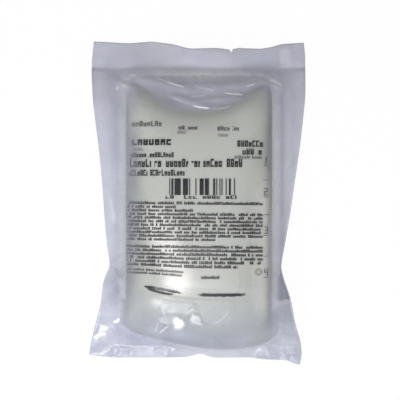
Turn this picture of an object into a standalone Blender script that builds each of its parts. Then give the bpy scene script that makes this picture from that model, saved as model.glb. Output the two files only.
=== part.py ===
"""A half-litre infusion bag, lying face up and still sealed in its milky plastic pouch.

The bag is two clear sheets welded round a pool of liquid, with a hanger slot in its top flap and
two ports welded into its bottom edge. That end is folded under the bag, so the ports lie below it.
Metres, +Z up, +Y towards the hanger end. The origin is on the table, under the pouch's middle.
"""

import math

import bmesh
import bpy
import numpy as np
from mathutils import Matrix, Vector

MM = 0.001

# Clearances
FILM_GAP = 0.3 * MM  # between two films or sheets that touch
PORT_GAP = 0.3 * MM  # between a port's tube and what is on or in it
PORT_WELD_GAP = 0.55 * MM  # between a port's tube and the sheets welded round it
LIQUID_GAP = 0.45 * MM  # between the liquid and the sheets
LIQUID_EDGE_GAP = 0.8 * MM  # between the liquid and the bag's welds
POUCH_CLEARANCE = 1.3 * MM  # between the pouch and the bag's rounded faces

# Pouch film, as it lies
POUCH_FILM = 0.25 * MM
POUCH_TOP = 112.5 * MM
POUCH_BOTTOM = -108.0 * MM
POUCH_END_WIDTH = 150.5 * MM
POUCH_WAIST_WIDTH = 119.6 * MM
WAIST_Y = -43.0 * MM
TOP_SEAL = 18.0 * MM
BOTTOM_SEAL = 8.5 * MM
SIDE_SEAL = 1.2 * MM
SEAL_HEIGHT = 9.0 * MM  # above the table, over the pouch's middle
CORNER_HEIGHT = 4.5 * MM
SEAM_LEVEL_FROM_TOP = 42.0 * MM  # nearer the top edge than this the side seams come down
SEAM_LEVEL_FROM_BOTTOM = 52.0 * MM
SEAM_DOWN_FROM_TOP = 8.0 * MM
TEAR_NOTCH_X = 24.0 * MM
TEAR_NOTCH_DEPTH = 2.6 * MM

# Solution bag
BAG_SHEET = 0.4 * MM
BAG_ASIDE = 1.4 * MM  # how far right of the pouch's middle the bag lies
BAG_WIDTH = 111.0 * MM
BAG_SIDE_SEAL = 3.2 * MM
BAG_TOP = 90.0 * MM
BAG_CORNER = 14.0 * MM
SEAM_HEIGHT = 13.0 * MM
SEAM_CLIMB_START = -36.0 * MM  # from here the seam climbs to the fold
SHOULDER_DEPTH = 2.6 * MM  # of the flap over the liquid's two shoulders
HANGER_DIP = 16.0 * MM  # how much further the liquid stops short at the hanger slot
HANGER_DIP_WIDTH = 36.0 * MM
HANGER_SLOT_LENGTH = 24.0 * MM
HANGER_SLOT_WIDTH = 7.0 * MM
HANGER_SLOT_Y = 80.0 * MM
FRONT_RISE = 30.4 * MM  # of the front sheet above the seam, at the fullest place
FULLEST_Y = -32.0 * MM
FRONT_SIDE_ROUND = 25.0 * MM  # the rounding from each weld inwards
FRONT_TOP_ROUND = 35.0 * MM
FRONT_END_ROUND = 47.0 * MM
REAR_SIDE_ROUND = 15.0 * MM
REAR_TOP_ROUND = 24.0 * MM
REAR_END_ROUND = 26.0 * MM
CREASE_Y = -64.0 * MM
CREASE_DEPTH = 1.8 * MM
CREASE_WIDTH = 3.2 * MM
CREASE_HALF_LENGTH = 38.0 * MM
CREASE_SAG = 4.5 * MM

# Folded port end
FOLD_Y = -96.5 * MM
FOLD_RADIUS = 5.2 * MM
FOLD_RISE = 1.2 * MM  # of each sheet off the bag's middle surface, where it turns
FOLD_THINNING = 40.0 * MM  # the bag thins down to FOLD_RISE over this length
BAG_END_SEAL = 12.0 * MM
END_SEAL_START = 2.0 * MM
END_BOW_X = 14.0 * MM  # where the end reaches out the furthest
END_BOW_LEFT = 14.0 * MM  # how far its left corner stands back from there
END_BOW_RIGHT = 6.5 * MM
END_BOW_LENGTH = 42.0 * MM
END_CORNER = 4.0 * MM  # how far its two corners are rounded off

# Ports, lying under the bag
PORT_SPACING = 27.0 * MM
PORT_TUBE_RADIUS = 4.1 * MM
PORT_TUBE_BORE = 3.0 * MM
PORT_TUBE_LENGTH = 34.0 * MM
PORT_TUBE_SUNK = 1.0 * MM  # past the weld, towards the liquid
MEMBRANE_DEPTH = 12.0 * MM
MEMBRANE_WALL = 0.8 * MM
MEMBRANE_SKIRT = 5.0 * MM
PROTECTOR_WALL = 0.9 * MM
PROTECTOR_BEAD = 0.5 * MM
PROTECTOR_GRIP = 15.0 * MM
TAB_LENGTH = 11.0 * MM
TAB_WIDTH = 12.0 * MM
TAB_NECK = 7.4 * MM
TAB_THICKNESS = 1.8 * MM
TAB_ROUND = 4.0 * MM
HOUSING_WALL = 0.9 * MM
HOUSING_FLANGE = 0.7 * MM
HOUSING_GRIP = 8.0 * MM
HOUSING_RIM = 3.6 * MM
SEPTUM_THICKNESS = 2.6 * MM
SEPTUM_BOSS = 1.8 * MM
SEPTUM_WINDOW = 2.9 * MM
POCKET_CLEARANCE = 1.5 * MM  # round what lies in the bag's pocket over the ports
POCKET_SLOPE = 11.0 * MM

# Rows of the two grids: each zone's name and its number of steps
BAG_ROW_STEPS = (("header", 2), ("shoulder", 5), ("body", 6), ("crease", 4), ("slope", 4), ("turn", 5))
POUCH_ROW_STEPS = (("shoulder", 7), ("body", 10), ("slope", 6), ("nose", 5))
SHOULDER_END = 42.0 * MM
POUCH_SHOULDER_END = 58.0 * MM
POUCH_SLOPE_START = -56.0 * MM
NOSE_LENGTH = 14.0 * MM
BAG_COLUMNS = 6  # on each side of the middle
POUCH_COLUMNS = 22
PORT_CUTS = 4  # extra cuts in a grid edge that crosses a port
ROUND_SEGMENTS = 16
SETTLE_STEPS = 1500

# Worked out from the sizes above
BAG_HALF = BAG_WIDTH / 2
CHAMBER_HALF = BAG_HALF - BAG_SIDE_SEAL
FILM_LIFT = FILM_GAP / 2  # each sheet's inner side stands this far off their middle surface
BAG_FLOOR = POUCH_FILM + FILM_GAP + BAG_SHEET  # inner side of the rear sheet
PORT_RIM = max(PROTECTOR_WALL + PROTECTOR_BEAD, HOUSING_WALL + HOUSING_FLANGE)
PORT_REACH = PORT_TUBE_RADIUS + PORT_GAP + PORT_RIM
FLAP_HEIGHT = POUCH_FILM + FILM_GAP + PORT_REACH
FLAP_LENGTH = END_SEAL_START + BAG_END_SEAL
POCKET_HALF_WIDTH = PORT_SPACING / 2 + max(PORT_REACH, TAB_WIDTH / 2) + POCKET_CLEARANCE
PROTECTOR_END = PORT_TUBE_LENGTH + PORT_GAP + PROTECTOR_WALL + TAB_LENGTH

# How far the pouch's side edges flare, from 0 at its waist to 1 at its full end width. Each place is
# a share of the way from the waist to the top edge, or below it, as a minus, to the bottom edge.
LEFT_FLARE = (
    (-1.05, 1.06), (-0.97, 1.05), (-0.83, 0.93), (-0.70, 0.80), (-0.57, 0.66), (-0.43, 0.49),
    (-0.19, 0.38), (-0.08, 0.22), (0.0, 0.06), (0.09, 0.20), (0.19, 0.30), (0.38, 0.43), (0.52, 0.57),
    (0.62, 0.70), (0.73, 0.84), (0.88, 0.93), (0.95, 0.89), (1.01, 0.80),
)
RIGHT_FLARE = (
    (-1.08, 0.79), (-0.97, 0.89), (-0.83, 0.84), (-0.62, 0.57), (-0.38, 0.39), (-0.22, 0.16),
    (-0.08, -0.02), (0.0, -0.07), (0.07, 0.07), (0.22, 0.34), (0.38, 0.57), (0.53, 0.79),
    (0.65, 0.93), (0.76, 1.04), (0.83, 1.05), (0.95, 1.05), (1.01, 0.97),
)

# How far the wavy end edges rise, at places in half end widths from the middle
TOP_WAVES = (
    (-0.97, 1.2 * MM), (-0.67, -0.1 * MM), (-0.44, 1.2 * MM), (-0.25, -0.8 * MM), (-0.09, -4.2 * MM),
    (0.17, -3.7 * MM), (0.31, -5.0 * MM), (0.36, -3.6 * MM), (0.59, -4.2 * MM), (0.70, -2.6 * MM),
    (0.79, -0.5 * MM), (1.0, 0.5 * MM),
)
BOTTOM_WAVES = (
    (-1.0, 1.8 * MM), (-0.79, -0.1 * MM), (-0.25, 0.2 * MM), (-0.08, 0.5 * MM), (0.0, 2.0 * MM),
    (0.06, 2.8 * MM), (0.10, 1.6 * MM), (0.17, -0.1 * MM), (0.54, -0.1 * MM), (0.61, -1.2 * MM),
    (0.88, -2.0 * MM), (0.97, -5.0 * MM),
)

# The front film's larger folds. Each starts and ends at a share of the bag's half width from its
# middle and a share of the way up the bag, and then has a height and a width.
FRONT_FOLDS = (
    ((1.08, 0.30), (0.94, 0.07), 4.5 * MM, 4.5 * MM),
    ((1.18, 0.20), (0.90, 0.03), 3.0 * MM, 4.0 * MM),
    ((-1.10, 0.31), (-0.95, 0.08), 4.0 * MM, 4.5 * MM),
    ((-1.18, 0.16), (-0.90, 0.02), 3.0 * MM, 4.0 * MM),
    ((-1.11, 0.91), (-1.08, 0.36), 2.2 * MM, 5.0 * MM),
    ((1.12, 0.87), (1.10, 0.39), 2.0 * MM, 5.0 * MM),
    ((-0.83, 0.99), (-0.07, 0.91), 3.0 * MM, 4.5 * MM),
    ((0.94, 0.98), (0.07, 0.91), 2.6 * MM, 4.5 * MM),
    ((-0.54, 0.12), (0.32, 0.03), 2.0 * MM, 4.5 * MM),
    ((-0.61, 0.03), (0.18, 0.12), 1.8 * MM, 4.0 * MM),
    ((0.43, 0.04), (0.68, 0.13), 1.6 * MM, 4.5 * MM),
)


def remove_everything():
    for thing in list(bpy.data.objects):
        bpy.data.objects.remove(thing)


def collection(name):
    made = bpy.data.collections.new(name)
    bpy.context.scene.collection.children.link(made)
    return made


def plastic(name, colour, roughness, alpha=1.0):
    made = bpy.data.materials.new(name)
    made.use_nodes = True
    shader = made.node_tree.nodes["Principled BSDF"]
    shader.inputs["Base Color"].default_value = (*colour, 1)
    shader.inputs["Roughness"].default_value = roughness
    shader.inputs["Metallic"].default_value = 0
    shader.inputs["Alpha"].default_value = alpha
    return made


def ease(low, high, value):
    """0 at low, 1 at high, and smooth between them."""
    t = np.clip((value - low) / (high - low), 0, 1)
    return t * t * (3 - 2 * t)


def swell(distance, reach, roundness=0.5):
    """Rises from 0 at an edge to 1 at reach from it. A roundness of 0.5 is a quarter circle."""
    t = np.clip(distance / reach, 0, 1)
    return (1 - (1 - t) ** 2) ** roundness


# The bag's shape: a middle surface, and how far each sheet stands off it


def bag_half_width(y):
    """The bag narrows round its two top corners."""
    into_corner = np.clip((y - (BAG_TOP - BAG_CORNER)) / BAG_CORNER, 0, 1)
    return BAG_HALF - BAG_CORNER * (1 - np.sqrt(1 - into_corner**2))


def chamber_top(x):
    """Where the liquid stops: at two shoulders, with a dip round the hanger slot."""
    return BAG_TOP - SHOULDER_DEPTH - HANGER_DIP * np.exp(-np.abs(x / HANGER_DIP_WIDTH) ** 3)


def middle_height(y):
    climbed = FLAP_HEIGHT + 2 * FOLD_RADIUS
    return SEAM_HEIGHT + (climbed - SEAM_HEIGHT) * ease(SEAM_CLIMB_START, FOLD_Y, y)


def end_setback(x):
    """How far the bag's folded end stands back at x from its furthest point."""
    left = np.clip((END_BOW_X - x) / (BAG_HALF + END_BOW_X), 0, 1.2)
    right = np.clip((x - END_BOW_X) / (BAG_HALF - END_BOW_X), 0, 1.2)
    corner = np.minimum(np.abs(x) / BAG_HALF, 1) ** 8
    return END_BOW_LEFT * left**1.35 + END_BOW_RIGHT * right**2.2 + END_CORNER * corner


def setback(x, y):
    return end_setback(x) * ease(FOLD_Y + END_BOW_LENGTH, FOLD_Y, y)


def crease_line(x):
    """The crease across the bag sags from the left towards the middle."""
    return CREASE_Y + CREASE_SAG * ease(0, -CREASE_HALF_LENGTH, x)


def front_rise(x, y, grow=0.0):
    """How far the front sheet stands over the middle surface. grow widens the chamber."""
    fullness = 1 - 0.33 * np.clip((y - FULLEST_Y) / (BAG_TOP - FULLEST_Y), 0, 1) ** 1.5
    across = 1 - 0.08 * (x / CHAMBER_HALF) ** 2
    sides = swell(bag_half_width(y) - BAG_SIDE_SEAL + grow - np.abs(x), FRONT_SIDE_ROUND + grow)
    top = swell(chamber_top(x) + grow - y, FRONT_TOP_ROUND + grow, 0.62)
    end = swell(y - FOLD_Y, FRONT_END_ROUND, 0.65)
    off_crease = (y - crease_line(x)) / CREASE_WIDTH
    along_crease = ease(1.15 * CREASE_HALF_LENGTH, 0.6 * CREASE_HALF_LENGTH, np.abs(x))
    groove = CREASE_DEPTH * along_crease * np.exp(-(off_crease**2))
    return np.maximum(FRONT_RISE * fullness * across * sides * top * end - groove, 0)


def rear_rise(x, y, grow=0.0):
    """How far the rear sheet hangs under it: down to the table, but for a pocket over the ports."""
    sides = swell(bag_half_width(y) - BAG_SIDE_SEAL + grow - np.abs(x), REAR_SIDE_ROUND + grow)
    top = swell(chamber_top(x) + grow - y, REAR_TOP_ROUND + grow, 0.6)
    end = swell(y - (FOLD_Y + 9 * MM), REAR_END_ROUND, 0.8)
    over_ports = ease(POCKET_HALF_WIDTH + POCKET_SLOPE, POCKET_HALF_WIDTH, np.abs(x))
    before_end = ease(pocket_end() + POCKET_SLOPE, pocket_end(), y)
    depth = SEAM_HEIGHT - FILM_LIFT - BAG_FLOOR
    return depth * sides * top * end * (1 - over_ports * before_end)


def port_centres():
    return (-PORT_SPACING / 2, PORT_SPACING / 2)


def port_start(x):
    """Y of the inner end of a port's tube."""
    return FOLD_Y + float(end_setback(np.array(x))) + END_SEAL_START - PORT_TUBE_SUNK


def pocket_end():
    return max(port_start(x) for x in port_centres()) + PROTECTOR_END + POCKET_CLEARANCE


def chamber_depth(x, zone, share, side, grow=0.0):
    """The same for any row of the bag, also round its fold. side is 1 in front and -1 behind."""
    seam = swell(CHAMBER_HALF + grow - abs(x), 6 * MM)
    if zone == "flap":
        return FOLD_RISE * seam * float(ease(END_SEAL_START, -END_SEAL_START, share * FLAP_LENGTH))
    if zone == "turn":
        return FOLD_RISE * seam
    y = float(row_y(zone, share, x))
    rise = front_rise(x, y, grow) if side > 0 else rear_rise(x, y, grow)
    return max(float(rise), FOLD_RISE * seam * ease(FOLD_Y + FOLD_THINNING, FOLD_Y, y))


def port_swell(x):
    """How far a sheet stands off the middle surface to pass round the two port tubes."""
    reach = PORT_TUBE_RADIUS + PORT_WELD_GAP
    off = min(abs(x - centre) for centre in port_centres())
    over_tube = math.sqrt(max(reach**2 - off**2, 0))
    web = 0.42 * (1.5 * reach - off) / 0.6
    return max(over_tube, min(0.42 * reach, web), 0)


def bag_rows():
    """Rows from the bag's top edge to its last weld, as (zone, share of the zone)."""
    rows = [(BAG_ROW_STEPS[0][0], 0.0)]
    for zone, steps in BAG_ROW_STEPS:
        closer = 1.7 if zone == "shoulder" else 1.0
        rows += [(zone, (k / steps) ** closer) for k in range(1, steps + 1)]
    weld_start = END_SEAL_START / FLAP_LENGTH
    return rows + [("flap", weld_start), ("flap", (1 + weld_start) / 2), ("flap", 1.0)]


def row_y(zone, share, x):
    """Y of a row in front of the fold."""
    crease = crease_line(x)
    spans = {
        "header": (BAG_TOP, chamber_top(x)),
        "shoulder": (chamber_top(x), SHOULDER_END),
        "body": (SHOULDER_END, crease + 2 * CREASE_WIDTH),
        "crease": (crease + 2 * CREASE_WIDTH, crease - 2 * CREASE_WIDTH),
        "slope": (crease - 2 * CREASE_WIDTH, FOLD_Y),
    }
    start, end = spans[zone]
    return start + (end - start) * share


def bag_point(x, zone, share, stand_off):
    """A point at x on a row of the bag, this far above its middle surface as it lies unfolded."""
    if zone in ("turn", "flap"):
        angle = share * math.pi if zone == "turn" else math.pi
        along_flap = share * FLAP_LENGTH if zone == "flap" else 0.0
        reach = FOLD_RADIUS + stand_off
        y = FOLD_Y - reach * math.sin(angle) + along_flap
        z = FLAP_HEIGHT + FOLD_RADIUS + reach * math.cos(angle)
        return Vector((x, y + end_setback(x), z))
    y = float(row_y(zone, share, x))
    return Vector((x, y + setback(x, y), middle_height(y) + stand_off))


def bag_columns():
    """Places across the bag, in half widths: closer together towards the chamber's sides."""
    inner = [math.sin(math.pi / 2 * k / BAG_COLUMNS) for k in range(-BAG_COLUMNS, BAG_COLUMNS + 1)]
    return [-1.0] + [share * CHAMBER_HALF / BAG_HALF for share in inner] + [1.0]


def column_x(column, zone, share):
    """X of a column on a row. The side weld keeps its width where the bag narrows."""
    if zone in ("turn", "flap"):
        return column * BAG_HALF
    y = float(row_y(zone, share, column * BAG_HALF))
    half = float(bag_half_width(y))
    if abs(column) == 1:
        return column * half
    return column * BAG_HALF / CHAMBER_HALF * (half - BAG_SIDE_SEAL)


# Grids that are bent into films


def flat_grid(columns, rows):
    """A flat grid whose vertices hold their column in X and their row in Y, both counted from 0."""
    mesh = bmesh.new()
    bmesh.ops.create_grid(mesh, x_segments=columns, y_segments=rows, size=0.5)
    for vertex in mesh.verts:
        vertex.co = Vector(((vertex.co.x + 0.5) * columns, (0.5 - vertex.co.y) * rows, 0))
    return mesh


def between(values, index):
    """The value at an index that may lie between two of them."""
    low = min(int(index), len(values) - 2)
    return values[low] + (values[low + 1] - values[low]) * (index - low)


def split_round_ports(mesh, columns, first_row):
    """Cuts the grid more finely where it wraps the port tubes."""
    reach = 1.5 * (PORT_TUBE_RADIUS + PORT_WELD_GAP)
    crossing = []
    for edge in mesh.edges:
        a, b = (vertex.co for vertex in edge.verts)
        low, high = sorted(between(columns, end.x) * BAG_HALF for end in (a, b))
        over_port = any(low < centre + reach and high > centre - reach for centre in port_centres())
        if over_port and min(a.y, b.y) >= first_row and abs(a.y - b.y) < 0.1:
            crossing.append(edge)
    bmesh.ops.subdivide_edges(mesh, edges=crossing, cuts=PORT_CUTS, use_grid_fill=True)


def face_outwards(mesh, side):
    """Turns a film's faces up if it is in front and down if it is behind."""
    bmesh.ops.recalc_face_normals(mesh, faces=mesh.faces)
    if side * sum(face.normal.z * face.calc_area() for face in mesh.faces) < 0:
        bmesh.ops.reverse_faces(mesh, faces=mesh.faces)


def smooth_object(name, mesh, material, place):
    data = bpy.data.meshes.new(name)
    mesh.to_mesh(data)
    mesh.free()
    data.materials.append(material)
    data.shade_smooth()
    made = bpy.data.objects.new(name, data)
    place.objects.link(made)
    return made


def thicken(film, thickness):
    wall = film.modifiers.new("Film", "SOLIDIFY")
    wall.thickness = thickness
    wall.offset = 1
    wall.use_even_offset = True


def build_bag_sheet(name, side, material, place):
    """A flat grid bent into one of the bag's two sheets."""
    columns, rows = bag_columns(), bag_rows()
    mesh = flat_grid(len(columns) - 1, len(rows) - 1)
    split_round_ports(mesh, columns, rows.index(("turn", 1.0)))
    for vertex in mesh.verts:
        zone, share = rows[round(vertex.co.y)]
        x = column_x(between(columns, vertex.co.x), zone, share)
        stand_off = FILM_LIFT + chamber_depth(x, zone, share, side)
        if (zone, share) == ("turn", 1.0) or zone == "flap":
            stand_off = max(stand_off, port_swell(x))
        vertex.co = bag_point(x, zone, share, side * stand_off)
    face_outwards(mesh, side)
    sheet = smooth_object(name, mesh, material, place)
    thicken(sheet, BAG_SHEET)
    return sheet


def build_liquid(material, place):
    """The liquid fills the chamber, a little clear of both sheets, and ends inside the fold."""
    columns = bag_columns()[1:-1]
    rows = [row for row in bag_rows() if row[0] not in ("header", "flap")][:-1]
    rows.insert(0, ("shoulder", 0.0))
    mesh = bmesh.new()
    for side in (1, -1):
        half = flat_grid(len(columns) - 1, len(rows) - 1)
        for vertex in half.verts:
            zone, share = rows[round(vertex.co.y)]
            x = column_x(columns[round(vertex.co.x)], zone, share)
            depth = chamber_depth(x, zone, share, side, -LIQUID_EDGE_GAP) + FILM_LIFT - LIQUID_GAP
            on_side = vertex.co.x in (0, len(columns) - 1)
            if on_side:
                x -= math.copysign(LIQUID_EDGE_GAP, x)
            if on_side or vertex.co.y in (0, len(rows) - 1):
                depth = 0
            vertex.co = bag_point(x, zone, share, side * max(depth, 0))
            if (zone, share) == rows[0]:
                vertex.co.y -= LIQUID_EDGE_GAP
        data = bpy.data.meshes.new("half of the liquid")
        half.to_mesh(data)
        half.free()
        mesh.from_mesh(data)
        bpy.data.meshes.remove(data)
    bmesh.ops.remove_doubles(mesh, verts=mesh.verts, dist=0.01 * MM)
    bmesh.ops.recalc_face_normals(mesh, faces=mesh.faces)
    return smooth_object("saline_solution", mesh, material, place)


def add_cutter(name, mesh, location, cutters):
    data = bpy.data.meshes.new(name)
    mesh.to_mesh(data)
    mesh.free()
    cutter = bpy.data.objects.new(name, data)
    cutter.location = location
    cutter.hide_render = True
    cutter.display_type = "WIRE"
    cutters.objects.link(cutter)
    return cutter


def combine(objects, other, operation):
    for thing in objects:
        boolean = thing.modifiers.new(other.name, "BOOLEAN")
        boolean.operation = operation
        boolean.object = other


def cut_hanger_slot(sheets, cutters):
    """A slot with round ends through both sheets: a cylinder with its two halves drawn apart."""
    mesh = bmesh.new()
    radius = HANGER_SLOT_WIDTH / 2
    bmesh.ops.create_cone(
        mesh, cap_ends=True, segments=ROUND_SEGMENTS, radius1=radius, radius2=radius,
        depth=2 * SEAM_HEIGHT, matrix=Matrix.Rotation(math.pi / ROUND_SEGMENTS, 4, "Z"),
    )
    for vertex in mesh.verts:
        vertex.co.x += math.copysign(HANGER_SLOT_LENGTH / 2 - radius, vertex.co.x)
    cutter = add_cutter("hanger_slot_cutter", mesh, (0, HANGER_SLOT_Y, SEAM_HEIGHT), cutters)
    combine(sheets, cutter, "DIFFERENCE")


# The pouch: its outline, its welded bands, and two films settled round the bag


def along_table(table, place):
    """The value of a table of (place, value) at a place, straight between its rows."""
    places, values = zip(*table)
    return np.interp(place, places, values)


def pouch_half_width(y, side):
    """The pouch is widest at its welded ends and narrowest where the bag is fullest."""
    end, waist = POUCH_END_WIDTH / 2, POUCH_WAIST_WIDTH / 2
    above = (y - WAIST_Y) / (POUCH_TOP - WAIST_Y)
    below = (y - WAIST_Y) / (WAIST_Y - POUCH_BOTTOM)
    flare = along_table(RIGHT_FLARE if side > 0 else LEFT_FLARE, np.where(y > WAIST_Y, above, below))
    return waist + (end - waist) * flare


def top_edge(x):
    """Y of the pouch's wavy top edge, pulled down over the bag's middle."""
    return POUCH_TOP + along_table(TOP_WAVES, x / (POUCH_END_WIDTH / 2))


def bottom_edge(x):
    """Y of its bottom edge: the right corner hangs lowest, and the middle is tucked in."""
    return POUCH_BOTTOM + along_table(BOTTOM_WAVES, x / (POUCH_END_WIDTH / 2))


def bottom_root(x):
    """Y of the bottom weld's inner line, which the bag's end pushes out between the corners."""
    straight = POUCH_BOTTOM + BOTTOM_SEAL
    bag_end = FOLD_Y + end_setback(x) - nose_reach(POUCH_CLEARANCE)
    over_bag = ease(BAG_HALF + 6 * MM, BAG_HALF - 14 * MM, np.abs(x))
    return straight + np.minimum(bag_end - straight, 0) * over_bag


def seam_height(y):
    """Height of the pouch's side edges: with the bag's seam, and lower at the corners."""
    near_top = ease(POUCH_TOP - SEAM_DOWN_FROM_TOP, POUCH_TOP - SEAM_LEVEL_FROM_TOP, y)
    near_bottom = ease(POUCH_BOTTOM, POUCH_BOTTOM + SEAM_LEVEL_FROM_BOTTOM, y)
    return CORNER_HEIGHT + (middle_height(y) - CORNER_HEIGHT) * near_top * near_bottom


def weld_height(x, phase):
    """Height of a welded band's inner line: at the corners, and over the bag's middle."""
    towards_middle = ease(0.88 * POUCH_END_WIDTH / 2, 0.3 * POUCH_END_WIDTH / 2, np.abs(x))
    wave = 0.9 * MM * np.sin(x / (12 * MM) + phase)
    return CORNER_HEIGHT + (SEAL_HEIGHT - CORNER_HEIGHT) * towards_middle + wave


def pouch_levels(x):
    """Y of each row at x, from the top band's inner line to the bottom band's."""
    nose = bottom_root(x) + NOSE_LENGTH
    spans = {
        "shoulder": (POUCH_TOP - TOP_SEAL, POUCH_SHOULDER_END),
        "body": (POUCH_SHOULDER_END, POUCH_SLOPE_START),
        "slope": (POUCH_SLOPE_START, nose),
        "nose": (nose, bottom_root(x)),
    }
    levels = [np.full_like(x, POUCH_TOP - TOP_SEAL)]
    for zone, steps in POUCH_ROW_STEPS:
        start, end = spans[zone]
        for k in range(1, steps + 1):
            share = math.sin(math.pi / 2 * k / steps) if zone == "nose" else k / steps
            levels.append(start + (end - start) * share + 0 * x)
    return levels


def pouch_grid():
    """X, Y and welded height of the pouch's grid, and which of its points are welded."""
    spread = np.linspace(-1, 1, POUCH_COLUMNS - 1)
    inner = (1 - 2 * SIDE_SEAL / POUCH_WAIST_WIDTH) * (0.6 * np.sin(np.pi / 2 * spread) + 0.4 * spread)
    shares = np.concatenate([[-1], inner, [1]])
    end_x = shares * POUCH_END_WIDTH / 2
    levels = pouch_levels(end_x)
    levels = [top_edge(end_x), (top_edge(end_x) + levels[0]) / 2, *levels]
    levels += [(levels[-1] + bottom_edge(end_x)) / 2, bottom_edge(end_x)]
    y = np.array(levels)
    left, right = pouch_half_width(y, -1), pouch_half_width(y, 1)
    x = (right - left) / 2 + shares * (right + left) / 2 - BAG_ASIDE
    z = seam_height(y)
    welded = np.zeros_like(x, bool)
    welded[:3] = welded[-3:] = True
    welded[:, :2] = welded[:, -2:] = True
    raise_top_band(x, y, z)
    drop_bottom_band(x, y, z)
    return x, y, z, welded


def raise_top_band(x, y, z):
    """The top band's free edge curls up where the bag pulls the band in."""
    z[2] = weld_height(x[2], 0.0)
    drawn_in = np.sqrt(np.maximum(TOP_SEAL**2 - (y[0] - y[2]) ** 2, 0))
    z[1] = z[2] + 0.42 * drawn_in + 0.6 * MM * np.sin(x[1] / (8 * MM))
    z[0] = np.maximum(z[2] + 0.40 * drawn_in + 1.3 * MM * np.sin(x[0] / (10 * MM) + 2), MM)


def drop_bottom_band(x, y, z):
    """The bottom band keeps its width, so it drops where the bag's end pushes it out."""
    z[-3] = weld_height(x[-3], 2.0)
    for row, share in ((-2, 0.5), (-1, 1.0)):
        drop = np.sqrt(np.maximum((BOTTOM_SEAL * share) ** 2 - (y[-3] - y[row]) ** 2, 0))
        z[row] = np.maximum(z[-3] - drop, MM)


def nose_reach(grow=0.0):
    """How far the bag's rounded end stands from the fold's centre."""
    return FOLD_RADIUS + FOLD_RISE + FILM_LIFT + BAG_SHEET + grow


def bag_ceiling(x, y, grow):
    """Top of the bag at (x, y), grown by grow, or below the table where there is no bag."""
    base = y - end_setback(x) * ease(FOLD_Y + END_BOW_LENGTH, FOLD_Y, y - setback(x, y))
    top = middle_height(base) + front_rise(x, base, grow) + FILM_LIFT + BAG_SHEET + grow
    margin = 3 * grow
    inside = (np.abs(x) < bag_half_width(base - margin) + grow) & (base < BAG_TOP + margin)
    past_fold = FOLD_Y - base
    nose = FLAP_HEIGHT + FOLD_RADIUS + np.sqrt(np.maximum(nose_reach(grow) ** 2 - past_fold**2, 0))
    on_nose = (past_fold >= 0) & (past_fold < nose_reach(grow)) & (np.abs(x) < BAG_HALF + grow)
    return np.where(on_nose, nose, np.where(inside & (past_fold < 0), top, -1.0))


def bag_underside(x, y, grow):
    """Bottom of the bag at (x, y), less grow: down to the table over the ports and the flap."""
    base = y - setback(x, y)
    low = middle_height(base) - rear_rise(x, base, grow) - FILM_LIFT - BAG_SHEET - grow
    flap = FLAP_HEIGHT - PORT_TUBE_RADIUS - PORT_WELD_GAP - BAG_SHEET - grow
    flap_end = FOLD_Y + end_setback(x) + FLAP_LENGTH + 3 * grow
    low = np.where(y < flap_end, np.minimum(low, flap), low)
    port_side = POCKET_HALF_WIDTH + POCKET_SLOPE / 2
    over_ports = (base < pocket_end() + POCKET_SLOPE / 2) & (np.abs(x) < port_side)
    low = np.where(over_ports & (base > FOLD_Y), 0.0, low)
    past_fold = FOLD_Y - base
    nose = FLAP_HEIGHT + FOLD_RADIUS - np.sqrt(np.maximum(nose_reach(grow) ** 2 - past_fold**2, 0))
    low = np.where(past_fold > 0, np.minimum(nose, low), low)
    beside = (np.abs(x) > bag_half_width(base) + 3 * grow) | (base > BAG_TOP + grow)
    return np.where(beside | (past_fold > nose_reach(grow)), 1.0, low)


def settled(x, y, z, welded, low, high, puff):
    """A taut film's heights: each free point goes to its neighbours' mean, within its limits."""
    left, right = x[1:-1, 1:-1] - x[1:-1, :-2], x[1:-1, 2:] - x[1:-1, 1:-1]
    up, down = y[:-2, 1:-1] - y[1:-1, 1:-1], y[1:-1, 1:-1] - y[2:, 1:-1]
    spacings = ((left, right), (right, left), (up, down), (down, up))
    pulls = [1 / (near * (near + far)) for near, far in spacings]
    z = np.where(welded, z, np.clip(z, low, high))
    free = ~welded[1:-1, 1:-1]
    for _ in range(SETTLE_STEPS):
        neighbours = (z[1:-1, :-2], z[1:-1, 2:], z[:-2, 1:-1], z[2:, 1:-1])
        mean = sum(pull * height for pull, height in zip(pulls, neighbours)) / sum(pulls) + puff
        mean = np.clip(mean, low[1:-1, 1:-1], high[1:-1, 1:-1])
        z[1:-1, 1:-1] = np.where(free, mean, z[1:-1, 1:-1])
    return z


def ridge(x, y, start, end, height, width):
    """A fold along a straight line, which fades out towards both ends."""
    bag_length = BAG_TOP - FOLD_Y
    start = np.array((start[0] * BAG_HALF, FOLD_Y + start[1] * bag_length))
    end = np.array((end[0] * BAG_HALF, FOLD_Y + end[1] * bag_length))
    along = end - start
    length = math.hypot(*along)
    share = ((x - start[0]) * along[0] + (y - start[1]) * along[1]) / length**2
    off = ((x - start[0]) * along[1] - (y - start[1]) * along[0]) / length
    return height * np.sqrt(np.clip(4 * share * (1 - share), 0, 1)) * np.exp(-((off / width) ** 2))


def film_heights(x, y, weld, welded):
    """Heights of the inner sides of the front film and of the rear one."""
    table = np.full_like(x, POUCH_FILM)
    under_bag = np.maximum(bag_underside(x, y, 0.8 * POUCH_CLEARANCE), table)
    rear = settled(x, y, weld, welded, table, under_bag, -0.01 * MM)
    over_bag = np.maximum(bag_ceiling(x, y, POUCH_CLEARANCE), rear + 2 * FILM_GAP)
    no_limit = np.full_like(x, 1.0)
    front = settled(x, y, weld, welded, over_bag, no_limit, 0.012 * MM)
    folds = sum(ridge(x, y, *fold) for fold in FRONT_FOLDS)
    return np.where(welded, front, front + folds), rear


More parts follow.
